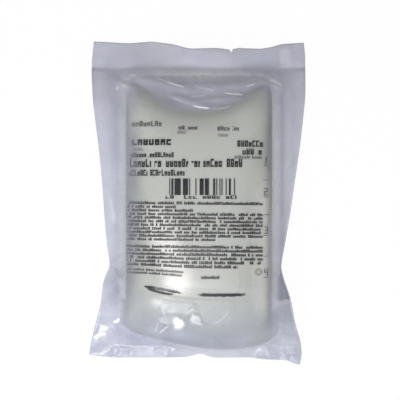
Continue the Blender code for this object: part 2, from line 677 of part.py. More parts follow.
def part_welds(x, y, front, rear, welded):
    """Points of both films. Where they are welded they stand apart by the gap, along the normal."""
    middle = np.stack([x, y, (front + rear) / 2], axis=-1)
    down, across = np.gradient(middle, axis=(0, 1))
    normal = np.cross(down, across)
    lift = welded[..., None] * FILM_LIFT * normal / np.linalg.norm(normal, axis=-1, keepdims=True)
    return np.stack([x, y, front], axis=-1) + lift, np.stack([x, y, rear], axis=-1) - lift


def build_pouch_film(name, points, side, material, place):
    mesh = flat_grid(points.shape[1] - 1, points.shape[0] - 1)
    for vertex in mesh.verts:
        vertex.co = Vector(points[round(vertex.co.y), round(vertex.co.x)])
    face_outwards(mesh, side)
    bmesh.ops.dissolve_limit(mesh, angle_limit=math.radians(0.05), verts=mesh.verts, edges=mesh.edges)
    film = smooth_object(name, mesh, material, place)
    thicken(film, POUCH_FILM)
    return film


def cut_tear_notch(films, cutters):
    """A nick in the pouch's top edge, to tear it open from."""
    mesh = bmesh.new()
    bmesh.ops.create_cone(
        mesh, cap_ends=True, segments=3, radius1=TEAR_NOTCH_DEPTH, radius2=TEAR_NOTCH_DEPTH,
        depth=8 * SEAL_HEIGHT, matrix=Matrix.Rotation(math.pi, 4, "Z"),
    )
    edge = float(top_edge(np.array(TEAR_NOTCH_X)))
    cutter = add_cutter("tear_notch_cutter", mesh, (TEAR_NOTCH_X, edge, SEAL_HEIGHT), cutters)
    combine(films, cutter, "DIFFERENCE")


# Ports: turned pieces, whose own Z runs along +Y from the weld towards the port's open end


def turned(name, profile, port, material, place):
    """Turns a profile of (radius, distance along the port), which runs down its outer side."""
    mesh = bmesh.new()
    points = [mesh.verts.new((radius, 0, along)) for radius, along in profile]
    hollow = profile[0][0] > 0
    pairs = zip(points, points[1:] + points[:1]) if hollow else zip(points, points[1:])
    lines = [mesh.edges.new(pair) for pair in pairs]
    bmesh.ops.spin(
        mesh, geom=points + lines, axis=(0, 0, 1), cent=(0, 0, 0), steps=ROUND_SEGMENTS,
        angle=2 * math.pi, use_merge=True,
    )
    bmesh.ops.remove_doubles(mesh, verts=mesh.verts, dist=0.01 * MM)
    bmesh.ops.recalc_face_normals(mesh, faces=mesh.faces)
    made = smooth_object(name, mesh, material, place)
    made.data.set_sharp_from_angle(angle=math.radians(35))
    made.parent = port
    return made


def port_axis(name, x, place):
    """An empty at the inner end of a port's tube, with its Z along the port."""
    made = bpy.data.objects.new(name, None)
    lying = Matrix.Rotation(-math.pi / 2, 4, "X")
    made.matrix_world = Matrix.Translation((x, port_start(x), FLAP_HEIGHT)) @ lying
    place.objects.link(made)
    return made


def port_tube(name, port, material, place):
    profile = [
        (PORT_TUBE_RADIUS, PORT_TUBE_LENGTH),
        (PORT_TUBE_RADIUS, 0),
        (PORT_TUBE_BORE, 0),
        (PORT_TUBE_BORE, PORT_TUBE_LENGTH),
    ]
    return turned(name, profile, port, material, place)


def port_membrane(port, material, place):
    """A small cup inside the tube, whose floor a spike pierces."""
    outer = PORT_TUBE_BORE - PORT_GAP
    inner = outer - MEMBRANE_WALL
    floor = PORT_TUBE_LENGTH - MEMBRANE_DEPTH
    profile = [
        (0, floor + MEMBRANE_WALL),
        (inner, floor + MEMBRANE_WALL),
        (inner, floor + MEMBRANE_SKIRT),
        (outer, floor + MEMBRANE_SKIRT),
        (outer, floor),
        (0, floor),
    ]
    return turned("administration_port_membrane", profile, port, material, place)


def port_protector(port, material, place, cutters):
    """A pull-off sleeve with a beaded mouth, a closed end and a flat tab to pull it by."""
    bore = PORT_TUBE_RADIUS + PORT_GAP
    outer = bore + PROTECTOR_WALL
    bead = outer + PROTECTOR_BEAD
    mouth = PORT_TUBE_LENGTH - PROTECTOR_GRIP
    inner_end = PORT_TUBE_LENGTH + PORT_GAP
    outer_end = inner_end + PROTECTOR_WALL
    profile = [
        (0, outer_end),
        (outer - PROTECTOR_WALL, outer_end),
        (outer - 0.3 * PROTECTOR_WALL, outer_end - 0.4 * PROTECTOR_WALL),
        (outer, mouth + 2.6 * PROTECTOR_WALL),
        (bead, mouth + 2 * PROTECTOR_WALL),
        (bead, mouth),
        (bore, mouth),
        (bore, inner_end),
        (0, inner_end),
    ]
    sleeve = turned("administration_port_protector", profile, port, material, place)
    mesh = bmesh.new()
    bmesh.ops.create_cube(mesh, size=1)
    bmesh.ops.scale(mesh, verts=mesh.verts, vec=(TAB_WIDTH, TAB_THICKNESS, TAB_LENGTH))
    neck = [vertex for vertex in mesh.verts if vertex.co.z < 0]
    bmesh.ops.scale(mesh, verts=neck, vec=(TAB_NECK / TAB_WIDTH, 1, 1))
    far_corners = [edge for edge in mesh.edges if all(v.co.z > 0 for v in edge.verts)
                   and abs(edge.verts[0].co.y - edge.verts[1].co.y) > TAB_THICKNESS / 2]
    bmesh.ops.bevel(
        mesh, geom=far_corners, offset=TAB_ROUND, segments=4, profile=0.5, affect="EDGES", material=-1
    )
    sunk = PROTECTOR_WALL / 2
    tab = add_cutter("protector_tab", mesh, (0, 0, outer_end - sunk + TAB_LENGTH / 2), cutters)
    tab.parent = port
    combine([sleeve], tab, "UNION")


def medication_housing(port, material, place):
    """A flanged cup on the tube's end, whose rim holds the rubber septum."""
    bore = PORT_TUBE_RADIUS + PORT_GAP
    outer = bore + HOUSING_WALL
    flange = outer + HOUSING_FLANGE
    mouth = PORT_TUBE_LENGTH - HOUSING_GRIP
    rim = PORT_TUBE_LENGTH + SEPTUM_THICKNESS + 2 * PORT_GAP
    profile = [
        (SEPTUM_WINDOW, rim + HOUSING_WALL),
        (outer, rim + HOUSING_WALL),
        (flange, rim),
        (flange, rim - HOUSING_RIM + HOUSING_FLANGE),
        (outer, rim - HOUSING_RIM),
        (outer, mouth),
        (bore, mouth),
        (bore, rim),
        (SEPTUM_WINDOW, rim),
    ]
    return turned("medication_port_housing", profile, port, material, place)


def medication_septum(port, material, place):
    """A rubber disc against the tube's end, with a boss that stands in the housing's window."""
    start = PORT_TUBE_LENGTH + PORT_GAP
    boss = SEPTUM_WINDOW - PORT_GAP
    profile = [
        (0, start + SEPTUM_THICKNESS + SEPTUM_BOSS),
        (0.8 * boss, start + SEPTUM_THICKNESS + 0.9 * SEPTUM_BOSS),
        (boss, start + SEPTUM_THICKNESS),
        (PORT_TUBE_RADIUS, start + SEPTUM_THICKNESS),
        (PORT_TUBE_RADIUS, start),
        (0, start),
    ]
    return turned("medication_port_septum", profile, port, material, place)


def centre_on_origin(pouch_points, place):
    """Carries every piece on an empty, which puts the pouch's middle over the origin."""
    corners = [end(end(points, axis=0), axis=0) for points in pouch_points for end in (np.min, np.max)]
    middle = (np.min(corners, axis=0) + np.max(corners, axis=0)) / 2
    carrier = bpy.data.objects.new("infusion_bag_origin", None)
    carrier.location = (-middle[0], -middle[1], 0)
    for thing in list(bpy.data.objects):
        if thing.parent is None and thing != carrier:
            thing.parent = carrier
    place.objects.link(carrier)


def main():
    remove_everything()
    parts = collection("infusion_bag")
    cutters = collection("cutters")

    milky = plastic("Milky pouch film", (0.74, 0.74, 0.82), 0.32, 0.45)
    clear = plastic("Clear soft vinyl", (0.74, 0.77, 0.73), 0.25, 0.6)
    liquid = plastic("Saline", (0.78, 0.82, 0.78), 0.08, 0.5)
    blue = plastic("Blue protector", (0.10, 0.32, 0.62), 0.4)
    rubber = plastic("Septum rubber", (0.62, 0.55, 0.42), 0.75)
    white = plastic("White housing", (0.86, 0.87, 0.86), 0.35)

    front_sheet = build_bag_sheet("bag_front_sheet", 1, clear, parts)
    rear_sheet = build_bag_sheet("bag_rear_sheet", -1, clear, parts)
    cut_hanger_slot([front_sheet, rear_sheet], cutters)
    build_liquid(liquid, parts)

    left, right = port_centres()
    administration_port = port_axis("administration_port", left, parts)
    port_tube("administration_port_tube", administration_port, clear, parts)
    port_membrane(administration_port, clear, parts)
    port_protector(administration_port, blue, parts, cutters)
    medication_port = port_axis("medication_port", right, parts)
    port_tube("medication_port_tube", medication_port, clear, parts)
    medication_housing(medication_port, white, parts)
    medication_septum(medication_port, rubber, parts)

    x, y, weld, welded = pouch_grid()
    front, rear = film_heights(x, y, weld, welded)
    front, rear = part_welds(x, y, front, rear, welded)
    front_film = build_pouch_film("overwrap_front_film", front, 1, milky, parts)
    rear_film = build_pouch_film("overwrap_rear_film", rear, -1, milky, parts)
    cut_tear_notch([front_film, rear_film], cutters)
    centre_on_origin([front, rear], parts)


main()
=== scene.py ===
"""A half-litre infusion bag lying face up, still sealed in its milky plastic pouch.

The two pouch films are laid finely over the bag, with their folds and haze. The bag's sheets, its
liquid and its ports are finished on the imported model's own shapes. Metres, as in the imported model,
except for the tables of folds, creases, facets, shades and print, which are in millimetres.
"""

import math

import bmesh
import bpy
import numpy as np
from mathutils import Matrix, Vector
from mathutils.bvhtree import BVHTree


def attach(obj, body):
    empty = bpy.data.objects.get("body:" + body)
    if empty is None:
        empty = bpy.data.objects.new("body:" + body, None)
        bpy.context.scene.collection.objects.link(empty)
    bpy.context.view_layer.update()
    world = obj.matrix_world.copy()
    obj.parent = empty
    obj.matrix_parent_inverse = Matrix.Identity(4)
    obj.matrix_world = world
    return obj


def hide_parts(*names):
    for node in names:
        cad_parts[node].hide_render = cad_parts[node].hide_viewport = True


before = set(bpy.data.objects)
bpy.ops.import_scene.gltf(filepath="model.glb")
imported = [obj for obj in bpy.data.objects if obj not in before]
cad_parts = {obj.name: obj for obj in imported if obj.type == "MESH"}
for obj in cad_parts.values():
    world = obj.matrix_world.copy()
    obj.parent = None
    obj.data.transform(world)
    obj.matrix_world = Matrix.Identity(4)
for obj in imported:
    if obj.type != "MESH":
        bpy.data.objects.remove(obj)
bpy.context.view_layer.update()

MM = 0.001
BELOW_ALL = -1.0  # heights past everything
ABOVE_ALL = 1.0

# The pouch, as in the part's source
CENTRE_X = 1.401 * MM  # the source moves all its pieces by this, and so puts the pouch on the origin
CENTRE_Y = -0.358 * MM
BAG_ASIDE = 1.4 * MM  # how far right of the pouch's middle the bag lies
POUCH_FILM = 0.25 * MM
POUCH_TOP = 112.5 * MM
POUCH_BOTTOM = -108.0 * MM
POUCH_END_WIDTH = 150.5 * MM
POUCH_WAIST_WIDTH = 119.6 * MM
WAIST_Y = -43.0 * MM
TOP_SEAL = 18.0 * MM
BOTTOM_SEAL = 8.5 * MM
SIDE_SEAL = 1.2 * MM
SEAL_HEIGHT = 9.0 * MM
CORNER_HEIGHT = 4.5 * MM
SEAM_LEVEL_FROM_TOP = 42.0 * MM
SEAM_LEVEL_FROM_BOTTOM = 52.0 * MM
SEAM_DOWN_FROM_TOP = 8.0 * MM
POUCH_CLEARANCE = 1.3 * MM  # between the pouch and the bag's rounded end

# Its sides: place from the bottom (-1) by the waist (0) to the top (1), and how far out they stand there,
# from the waist's half width (0) to the ends' (1)
LEFT_FLARE = (
    (-1.05, 1.06), (-0.97, 1.05), (-0.83, 0.93), (-0.70, 0.80), (-0.57, 0.66), (-0.43, 0.49),
    (-0.19, 0.38), (-0.08, 0.22), (0.0, 0.06), (0.09, 0.20), (0.19, 0.30), (0.38, 0.43), (0.52, 0.57),
    (0.62, 0.70), (0.73, 0.84), (0.88, 0.93), (0.95, 0.89), (1.01, 0.80),
)
RIGHT_FLARE = (
    (-1.08, 0.79), (-0.97, 0.89), (-0.83, 0.84), (-0.62, 0.57), (-0.38, 0.39), (-0.22, 0.16),
    (-0.08, -0.02), (0.0, -0.07), (0.07, 0.07), (0.22, 0.34), (0.38, 0.57), (0.53, 0.79),
    (0.65, 0.93), (0.76, 1.04), (0.83, 1.05), (0.95, 1.05), (1.01, 0.97),
)

# Its end edges: place across in half widths, and how far the edge stands from straight
TOP_WAVES = (
    (-0.97, 1.2 * MM), (-0.67, -0.1 * MM), (-0.44, 1.2 * MM), (-0.25, -0.8 * MM), (-0.09, -4.2 * MM),
    (0.17, -3.7 * MM), (0.31, -5.0 * MM), (0.36, -3.6 * MM), (0.59, -4.2 * MM), (0.70, -2.6 * MM),
    (0.79, -0.5 * MM), (1.0, 0.5 * MM),
)
BOTTOM_WAVES = (
    (-1.0, 1.8 * MM), (-0.79, -0.1 * MM), (-0.25, 0.2 * MM), (-0.08, 0.5 * MM), (0.0, 2.0 * MM),
    (0.06, 2.8 * MM), (0.10, 1.6 * MM), (0.17, -0.1 * MM), (0.54, -0.1 * MM), (0.61, -1.2 * MM),
    (0.88, -2.0 * MM), (0.97, -5.0 * MM),
)

# The nick in its top edge, a little left of the source's and shallower
TEAR_NOTCH_X = 22.4 * MM
TEAR_NOTCH_DEPTH = 1.7 * MM

# The bag's seam and folded end, as in the part's source
BAG_WIDTH = 111.0 * MM
SEAM_HEIGHT = 13.0 * MM
SEAM_CLIMB_START = -36.0 * MM
FOLD_Y = -96.5 * MM
FOLD_RADIUS = 5.2 * MM
FLAP_HEIGHT = 6.55 * MM
NOSE_REACH = 6.95 * MM
END_BOW_X = 14.0 * MM
END_BOW_LEFT = 14.0 * MM
END_BOW_RIGHT = 6.5 * MM
END_CORNER = 4.0 * MM

# The fine films
COLUMNS = 132
BAND_ROWS = 12
BODY_ROWS = 150
NOSE_ROWS = 12
BOTTOM_ROWS = 8
NOSE_LENGTH = 14.0 * MM
FILM_LIFT = 0.15 * MM
CLEARANCE = 0.35 * MM
FRONT_STEPS = 900
REAR_STEPS = 500
FRONT_PUFF = 0.0004 * MM  # how far each point rises over its neighbours' mean in one step
REAR_PUFF = -0.00002 * MM
FREE_FILM_HEIGHT = 10.0 * MM  # where the source has no film
WELD_HAZE = 0.9  # how milky the film looks where it is welded

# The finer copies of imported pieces
MERGE_DISTANCE = 0.001 * MM
ROUNDING_LEVELS = 2
SHARP = math.radians(35)


def ease(low, high, value):
    """0 at low, 1 at high, and smooth between them."""
    t = np.clip((value - low) / (high - low), 0, 1)
    return t * t * (3 - 2 * t)


def along_table(table, place):
    """The value of a table of (place, value), rounded a little at its rows."""
    places, values = zip(*table)
    step = 0.02
    return sum(np.interp(place + shift * step, places, values) for shift in (-1.5, -0.5, 0.5, 1.5)) / 4


# Shader maths


class Value:
    """A socket. Sums and products with it add Math nodes to its material."""

    def __init__(self, finish, socket):
        self.finish = finish
        self.socket = socket

    def maths(self, operation, *others):
        return self.finish.node("ShaderNodeMath", {"operation": operation}, self, *others)

    def __add__(self, other):
        return self.maths("ADD", other)

    __radd__ = __add__

    def __mul__(self, other):
        return self.maths("MULTIPLY", other)

    __rmul__ = __mul__

    def __sub__(self, other):
        return self.maths("SUBTRACT", other)

    def __rsub__(self, other):
        return self.finish.node("ShaderNodeMath", {"operation": "SUBTRACT"}, other, self)

    def __truediv__(self, other):
        return self.maths("DIVIDE", other)

    def __gt__(self, other):
        return self.maths("GREATER_THAN", other)

    def __lt__(self, other):
        return self.maths("LESS_THAN", other)

    def floor(self):
        return self.maths("FLOOR")

    def clamped(self):
        return self.finish.node("ShaderNodeClamp", {}, self)

    def between(self, low, high):
        return (self > low) * (self < high)


class Finish:
    """A material under way: node() adds a node, and shader holds its Principled BSDF."""

    def __init__(self, name, colour, roughness, alpha=1.0, **constants):
        self.material = bpy.data.materials.new(name)
        self.material.use_nodes = True
        self.tree = self.material.node_tree
        self.shader = self.tree.nodes["Principled BSDF"]
        self.shader.inputs["Base Color"].default_value = (*colour, 1)
        self.shader.inputs["Roughness"].default_value = roughness
        self.shader.inputs["Alpha"].default_value = alpha
        for socket, value in constants.items():
            self.shader.inputs[socket.replace("_", " ")].default_value = value

    def node(self, kind, settings, *inputs, output=0, **named):
        made = self.tree.nodes.new(kind)
        for setting, value in settings.items():
            setattr(made, setting, value)
        for socket, value in [*enumerate(inputs), *named.items()]:
            self.set(made.inputs[socket.replace("_", " ") if isinstance(socket, str) else socket], value)
        return Value(self, made.outputs[output])

    def set(self, socket, value):
        if isinstance(value, Value):
            self.tree.links.new(value.socket, socket)
        elif isinstance(value, tuple) and len(value) == 3 and socket.type == "RGBA":
            socket.default_value = (*value, 1)
        else:
            socket.default_value = value

    def feed(self, socket, value):
        self.set(self.shader.inputs[socket], value)

    def place(self):
        """X, Y and Z on the object, in millimetres."""
        spot = self.node("ShaderNodeTexCoord", {}, output="Object")
        parts = [self.node("ShaderNodeSeparateXYZ", {}, spot, output=axis) for axis in "XYZ"]
        return [part * 1000 for part in parts]

    def vector(self, *parts):
        return self.node("ShaderNodeCombineXYZ", {}, *parts)

    def noise(self, scale, detail=2.0, roughness=0.5, vector=None):
        vector = vector or self.node("ShaderNodeTexCoord", {}, output="Object")
        return self.node(
            "ShaderNodeTexNoise", {}, Vector=vector, Scale=scale, Detail=detail, Roughness=roughness
        )

    def attribute(self, name):
        return self.node("ShaderNodeAttribute", {"attribute_name": name}, output="Fac")

    def mixed(self, factor, first, second):
        """One colour turned into another."""
        made = self.tree.nodes.new("ShaderNodeMix")
        made.data_type = "RGBA"
        for socket, value in ((0, factor), (6, first), (7, second)):
            self.set(made.inputs[socket], value)
        return Value(self, made.outputs[2])

    def range(self, value, low, high, to_low, to_high):
        return self.node("ShaderNodeMapRange", {}, value, low, high, to_low, to_high)

    def bump(self, height, distance, strength=1.0):
        bump = self.node("ShaderNodeBump", {}, Strength=strength, Distance=distance, Height=height)
        self.feed("Normal", bump)


# Meshes


def add_object(name, mesh, *finishes):
    """Makes an object of a bmesh, shaded smooth, in these materials."""
    data = bpy.data.meshes.new(name)
    mesh.to_mesh(data)
    mesh.free()
    for finish in finishes:
        data.materials.append(finish.material)
    data.shade_smooth()
    made = bpy.data.objects.new(name, data)
    bpy.context.scene.collection.objects.link(made)
    return made


def apply_modifiers(thing):
    """Puts the modifiers' result in the object's mesh."""
    graph = bpy.context.evaluated_depsgraph_get()
    data = bpy.data.meshes.new_from_object(thing.evaluated_get(graph), depsgraph=graph)
    thing.modifiers.clear()
    thing.data = data
    return thing


def cut_tear_notch(film):
    """A nick in the pouch's top edge, to tear it open from."""
    mesh = bmesh.new()
    bmesh.ops.create_cone(
        mesh, cap_ends=True, segments=3, radius1=TEAR_NOTCH_DEPTH, radius2=TEAR_NOTCH_DEPTH,
        depth=8 * SEAL_HEIGHT, matrix=Matrix.Rotation(math.pi, 4, "Z"),
    )
    edge = float(top_edge(TEAR_NOTCH_X))
    bmesh.ops.translate(mesh, verts=mesh.verts, vec=(TEAR_NOTCH_X + CENTRE_X, edge + CENTRE_Y, SEAL_HEIGHT))
    data = bpy.data.meshes.new("tear notch")
    mesh.to_mesh(data)
    mesh.free()
    cutter = bpy.data.objects.new("tear notch", data)
    bpy.context.scene.collection.objects.link(cutter)
    cut = film.modifiers.new("Notch", "BOOLEAN")
    cut.operation = "DIFFERENCE"
    cut.object = cutter
    apply_modifiers(film)
    bpy.data.objects.remove(cutter)


def seat(piece, slot, *nodes):
    """The piece rides on the bag and stands for these nodes."""
    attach(piece, "root")
    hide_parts(*nodes)


def joined_mesh(node, bend, skew):
    """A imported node's mesh, its loose triangles joined to quads that bend and skew at most this much."""
    mesh = bmesh.new()
    mesh.from_mesh(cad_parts[node].data)
    bmesh.ops.remove_doubles(mesh, verts=mesh.verts, dist=MERGE_DISTANCE)
    bmesh.ops.join_triangles(
        mesh, faces=mesh.faces, angle_face_threshold=math.radians(bend),
        angle_shape_threshold=math.radians(skew),
    )
    return mesh


def rounded(thing):
    """The object with its mesh subdivided."""
    rounding = thing.modifiers.new("Rounding", "SUBSURF")
    rounding.levels = rounding.render_levels = ROUNDING_LEVELS
    return apply_modifiers(thing)


def smooth_copy(name, node, *finishes):
    """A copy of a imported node, with its facets rounded off. A second finish goes on its lower side."""
    mesh = joined_mesh(node, 30, 50)
    for face in mesh.faces:
        face.material_index = int(len(finishes) == 2 and face.normal.z < 0)
    return rounded(add_object(name, mesh, *finishes))


def turned_copy(name, node, finish):
    """A copy of a packed round piece, made rounder, with its sharp edges kept."""
    mesh = joined_mesh(node, 1, 60)
    creases = mesh.edges.layers.float.new("crease_edge")
    for edge in mesh.edges:
        edge[creases] = float(edge.calc_face_angle(0) > SHARP)
    copy = rounded(add_object(name, mesh, finish))
    copy.data.set_sharp_from_angle(angle=SHARP)
    return copy


def tree_of(thing):
    mesh = bmesh.new()
    mesh.from_mesh(thing.data)
    tree = BVHTree.FromBMesh(mesh)
    mesh.free()
    return tree


def cast(trees, x, y, upwards, missing):
    """Height of the first thing met at each place, from above or from below."""
    found = np.full(x.shape, missing)
    if upwards:
        start, way, nearest = BELOW_ALL, Vector((0, 0, 1)), np.minimum
    else:
        start, way, nearest = ABOVE_ALL, Vector((0, 0, -1)), np.maximum
    for tree in trees:
        for index in np.ndindex(x.shape):
            hit = tree.ray_cast(Vector((x[index], y[index], start)), way)[0]
            if hit is not None:
                found[index] = nearest(found[index], hit.z)
    return found


# The pouch's outline and welded bands


def pouch_half_width(y, side):
    end, waist = POUCH_END_WIDTH / 2, POUCH_WAIST_WIDTH / 2
    above = (y - WAIST_Y) / (POUCH_TOP - WAIST_Y)
    below = (y - WAIST_Y) / (WAIST_Y - POUCH_BOTTOM)
    flare = along_table(RIGHT_FLARE if side > 0 else LEFT_FLARE, np.where(y > WAIST_Y, above, below))
    return waist + (end - waist) * flare


def top_edge(x):
    return POUCH_TOP + along_table(TOP_WAVES, x / (POUCH_END_WIDTH / 2))


def bottom_edge(x):
    return POUCH_BOTTOM + along_table(BOTTOM_WAVES, x / (POUCH_END_WIDTH / 2))


def end_setback(x):
    left = np.clip((END_BOW_X - x) / (BAG_WIDTH / 2 + END_BOW_X), 0, 1.2)
    right = np.clip((x - END_BOW_X) / (BAG_WIDTH / 2 - END_BOW_X), 0, 1.2)
    corner = np.minimum(np.abs(x) / (BAG_WIDTH / 2), 1) ** 8
    return END_BOW_LEFT * left**1.35 + END_BOW_RIGHT * right**2.2 + END_CORNER * corner


def bottom_root(x):
    """Y of the bottom weld's inner line, which the bag's end pushes out between the corners."""
    straight = POUCH_BOTTOM + BOTTOM_SEAL
    bag_end = FOLD_Y + end_setback(x) - NOSE_REACH - POUCH_CLEARANCE
    over_bag = ease(BAG_WIDTH / 2 + 6 * MM, BAG_WIDTH / 2 - 14 * MM, np.abs(x))
    return straight + np.minimum(bag_end - straight, 0) * over_bag


def middle_height(y):
    climbed = FLAP_HEIGHT + 2 * FOLD_RADIUS
    return SEAM_HEIGHT + (climbed - SEAM_HEIGHT) * ease(SEAM_CLIMB_START, FOLD_Y, y)


def seam_height(y):
    near_top = ease(POUCH_TOP - SEAM_DOWN_FROM_TOP, POUCH_TOP - SEAM_LEVEL_FROM_TOP, y)
    near_bottom = ease(POUCH_BOTTOM, POUCH_BOTTOM + SEAM_LEVEL_FROM_BOTTOM, y)
    return CORNER_HEIGHT + (middle_height(y) - CORNER_HEIGHT) * near_top * near_bottom


def weld_height(x, phase):
    towards_middle = ease(0.88 * POUCH_END_WIDTH / 2, 0.3 * POUCH_END_WIDTH / 2, np.abs(x))
    wave = 0.9 * MM * np.sin(x / (12 * MM) + phase)
    return CORNER_HEIGHT + (SEAL_HEIGHT - CORNER_HEIGHT) * towards_middle + wave


def band_drop(width, y, far_y):
    """How far out of level a welded band of this width turns to reach only as far as far_y."""
    return np.sqrt(np.maximum(width**2 - (y - far_y) ** 2, 0))


def pouch_grid():
    """X, Y and welded height of the pouch's grid, and which of its points are welded."""
    spread = np.linspace(-1, 1, COLUMNS - 3)
    edge = 1 - 2 * SIDE_SEAL / POUCH_WAIST_WIDTH
    shares = np.concatenate([[-1, -(1 + edge) / 2], edge * spread, [(1 + edge) / 2, 1]])
    end_x = shares * POUCH_END_WIDTH / 2
    top, root = top_edge(end_x), np.full_like(end_x, POUCH_TOP - TOP_SEAL)
    low_root = bottom_root(end_x)
    nose = low_root + NOSE_LENGTH
    low = bottom_edge(end_x)
    spans = (
        (top, root, BAND_ROWS),
        (root, nose, BODY_ROWS),
        (nose, low_root, NOSE_ROWS),
        (low_root, low, BOTTOM_ROWS),
    )
    rows = [top]
    for start, end, steps in spans:
        rows += [start + (end - start) * k / steps for k in range(1, steps + 1)]
    y = np.array(rows)
    left, right = pouch_half_width(y, -1), pouch_half_width(y, 1)
    x = (right - left) / 2 + shares * (right + left) / 2 - BAG_ASIDE
    z = seam_height(y)
    welded = np.zeros_like(x, bool)
    welded[: BAND_ROWS + 1] = welded[-BOTTOM_ROWS - 1 :] = True
    welded[:, :3] = welded[:, -3:] = True
    raise_top_band(x, y, z)
    drop_bottom_band(x, y, z)
    return x, y, z, welded


def raise_top_band(x, y, z):
    """The top band's free edge curls up where the bag pulls the band in."""
    root = BAND_ROWS
    foot = weld_height(x[root], 0.0)
    drawn_in = band_drop(TOP_SEAL, y[0], y[root])
    for row in range(root + 1):
        share = 1 - row / root
        rise = 0.84 * share * (1 - 0.524 * share) * drawn_in
        wave = 1.3 * share * np.sin(x[row] / (10 * MM) + 2)
        ripple = 0.6 * share * (1 - share) * np.sin(x[row] / (8 * MM))
        z[row] = np.maximum(foot + rise + (wave + ripple) * MM, MM)


def drop_bottom_band(x, y, z):
    """The bottom band keeps its width, so it drops where the bag's end pushes it out."""
    root = -BOTTOM_ROWS - 1
    z[root] = weld_height(x[root], 2.0)
    for row in range(1, BOTTOM_ROWS + 1):
        drop = band_drop(BOTTOM_SEAL * row / BOTTOM_ROWS, y[root], y[root + row])
        z[root + row] = np.maximum(z[root] - drop, MM)


def settled(x, y, z, welded, low, high, puff, steps):
    """A taut film's heights: each free point goes to its neighbours' mean, within its limits."""
    left, right = x[1:-1, 1:-1] - x[1:-1, :-2], x[1:-1, 2:] - x[1:-1, 1:-1]
    up, down = y[:-2, 1:-1] - y[1:-1, 1:-1], y[1:-1, 1:-1] - y[2:, 1:-1]
    spacings = ((left, right), (right, left), (up, down), (down, up))
    pulls = [1 / (near * (near + far)) for near, far in spacings]
    total = sum(pulls)
    z = np.where(welded, z, np.clip(z, low, high))
    free = ~welded[1:-1, 1:-1]
    low, high = low[1:-1, 1:-1], high[1:-1, 1:-1]
    for _ in range(steps):
        neighbours = (z[1:-1, :-2], z[1:-1, 2:], z[:-2, 1:-1], z[2:, 1:-1])
        mean = sum(pull * height for pull, height in zip(pulls, neighbours)) / total + puff
        z[1:-1, 1:-1] = np.where(free, np.clip(mean, low, high), z[1:-1, 1:-1])
    return z


def with_neighbours(values):
    """Nine grids of this one's size: the grid, and the grid moved by one point in each direction."""
    padded = np.pad(values, 1, mode="edge")
    rows, columns = values.shape
    return [padded[i : i + rows, j : j + columns] for i in range(3) for j in range(3)]


def widest(heights, best):
    """Each height raised, or lowered, to its neighbours' most."""
    return best(with_neighbours(heights), axis=0)


def blurred(values, passes):
    """The values, averaged with their neighbours' this many times."""
    for _ in range(passes):
        values = sum(with_neighbours(values)) / 9
    return values


def film_haze(x, y, front, bag_top, welded):
    """How milky the front film looks: hardly at all where it clings to the full bag."""
    flank = ease(34 * MM, 46 * MM, np.abs(x)) * ease(82 * MM, 66 * MM, y)
    off_bag = np.where(bag_top > 0, (front - bag_top - CLEARANCE - 0.8 * MM) / ((4 + 12 * flank) * MM), 1)
    printed = ease(68 * MM, 54 * MM, y) * ease(-86 * MM, -66 * MM, y)
    off_bag = off_bag * (1 - printed * ease(53 * MM, 46 * MM, np.abs(x)))
    closer = 3.5 * MM * ease(15 * MM, -20 * MM, y) * (x > 0)  # at the lower right it starts further in
    flange = ease(51.5 * MM, 54.5 * MM, np.abs(x) + closer)
    left = 0.22 * ease(-38 * MM, -50 * MM, x)
    ends = 0.3 * ease(60 * MM, 74 * MM, y) + 0.12 * ease(-56 * MM, -84 * MM, y)
    haze = blurred(np.clip(np.maximum(off_bag, flange) + left + ends, 0, 1), 4)
    return np.where(welded, WELD_HAZE, haze)


def rear_film_haze(bag_top, welded):
    """How milky the rear film looks: less so under the bag."""
    return np.where(welded, WELD_HAZE, np.where(bag_top > 0, 0.2, 0.6))


def fold(x, y, start, end, height, width, sharp):
    """A fold along a straight line that fades out at both ends. A sharp one has a crease for a crest."""
    start, end = np.array(start) * MM, np.array(end) * MM
    along = end - start
    length = math.hypot(*along)
    share = ((x - start[0]) * along[0] + (y - start[1]) * along[1]) / length**2
    off = np.abs((x - start[0]) * along[1] - (y - start[1]) * along[0]) / (length * width * MM)
    fading = np.sqrt(np.clip(4 * share * (1 - share), 0, 1))
    crest = np.exp(-np.sqrt(off**2 + 0.02) * 1.8) if sharp else np.exp(-(off**2))
    return height * MM * fading * crest


# The front film's folds, in millimetres: start, end, height, width, and whether the crest is sharp
FRONT_FOLDS = (
    ((-44, 89), (-4, 80), 2.2, 4.0, False),
    ((52, 88), (4, 80), 2.0, 4.0, False),
    ((-20, 76), (12, 66), 1.6, 2.2, True),
    ((-2, 71), (34, 74), 1.4, 2.4, True),
    ((44, 86), (62, 80), 1.8, 2.2, True),
    ((-58, 86), (-40, 80), 1.8, 2.4, True),
    ((-62, -43), (-48, -58), 2.2, 2.2, True),
    ((-62, -44), (-50, -36), 1.6, 2.4, True),
    ((-64, -60), (-50, -50), 1.6, 3.0, True),
    ((60, -44), (50, -66), 2.6, 2.6, True),
    ((60, -45), (52, -30), 1.8, 2.6, True),
    ((66, -62), (56, -84), 1.6, 3.0, True),
    ((-26, -72), (-12, -92), 1.6, 2.0, True),
    ((-20, -86), (8, -78), 1.6, 2.0, True),
    ((-28, -80), (-2, -70), 1.3, 1.8, True),
    ((-6, -72), (-10, -92), 1.4, 1.8, True),
    ((-30, -92), (2, -88), 1.2, 2.2, True),
)


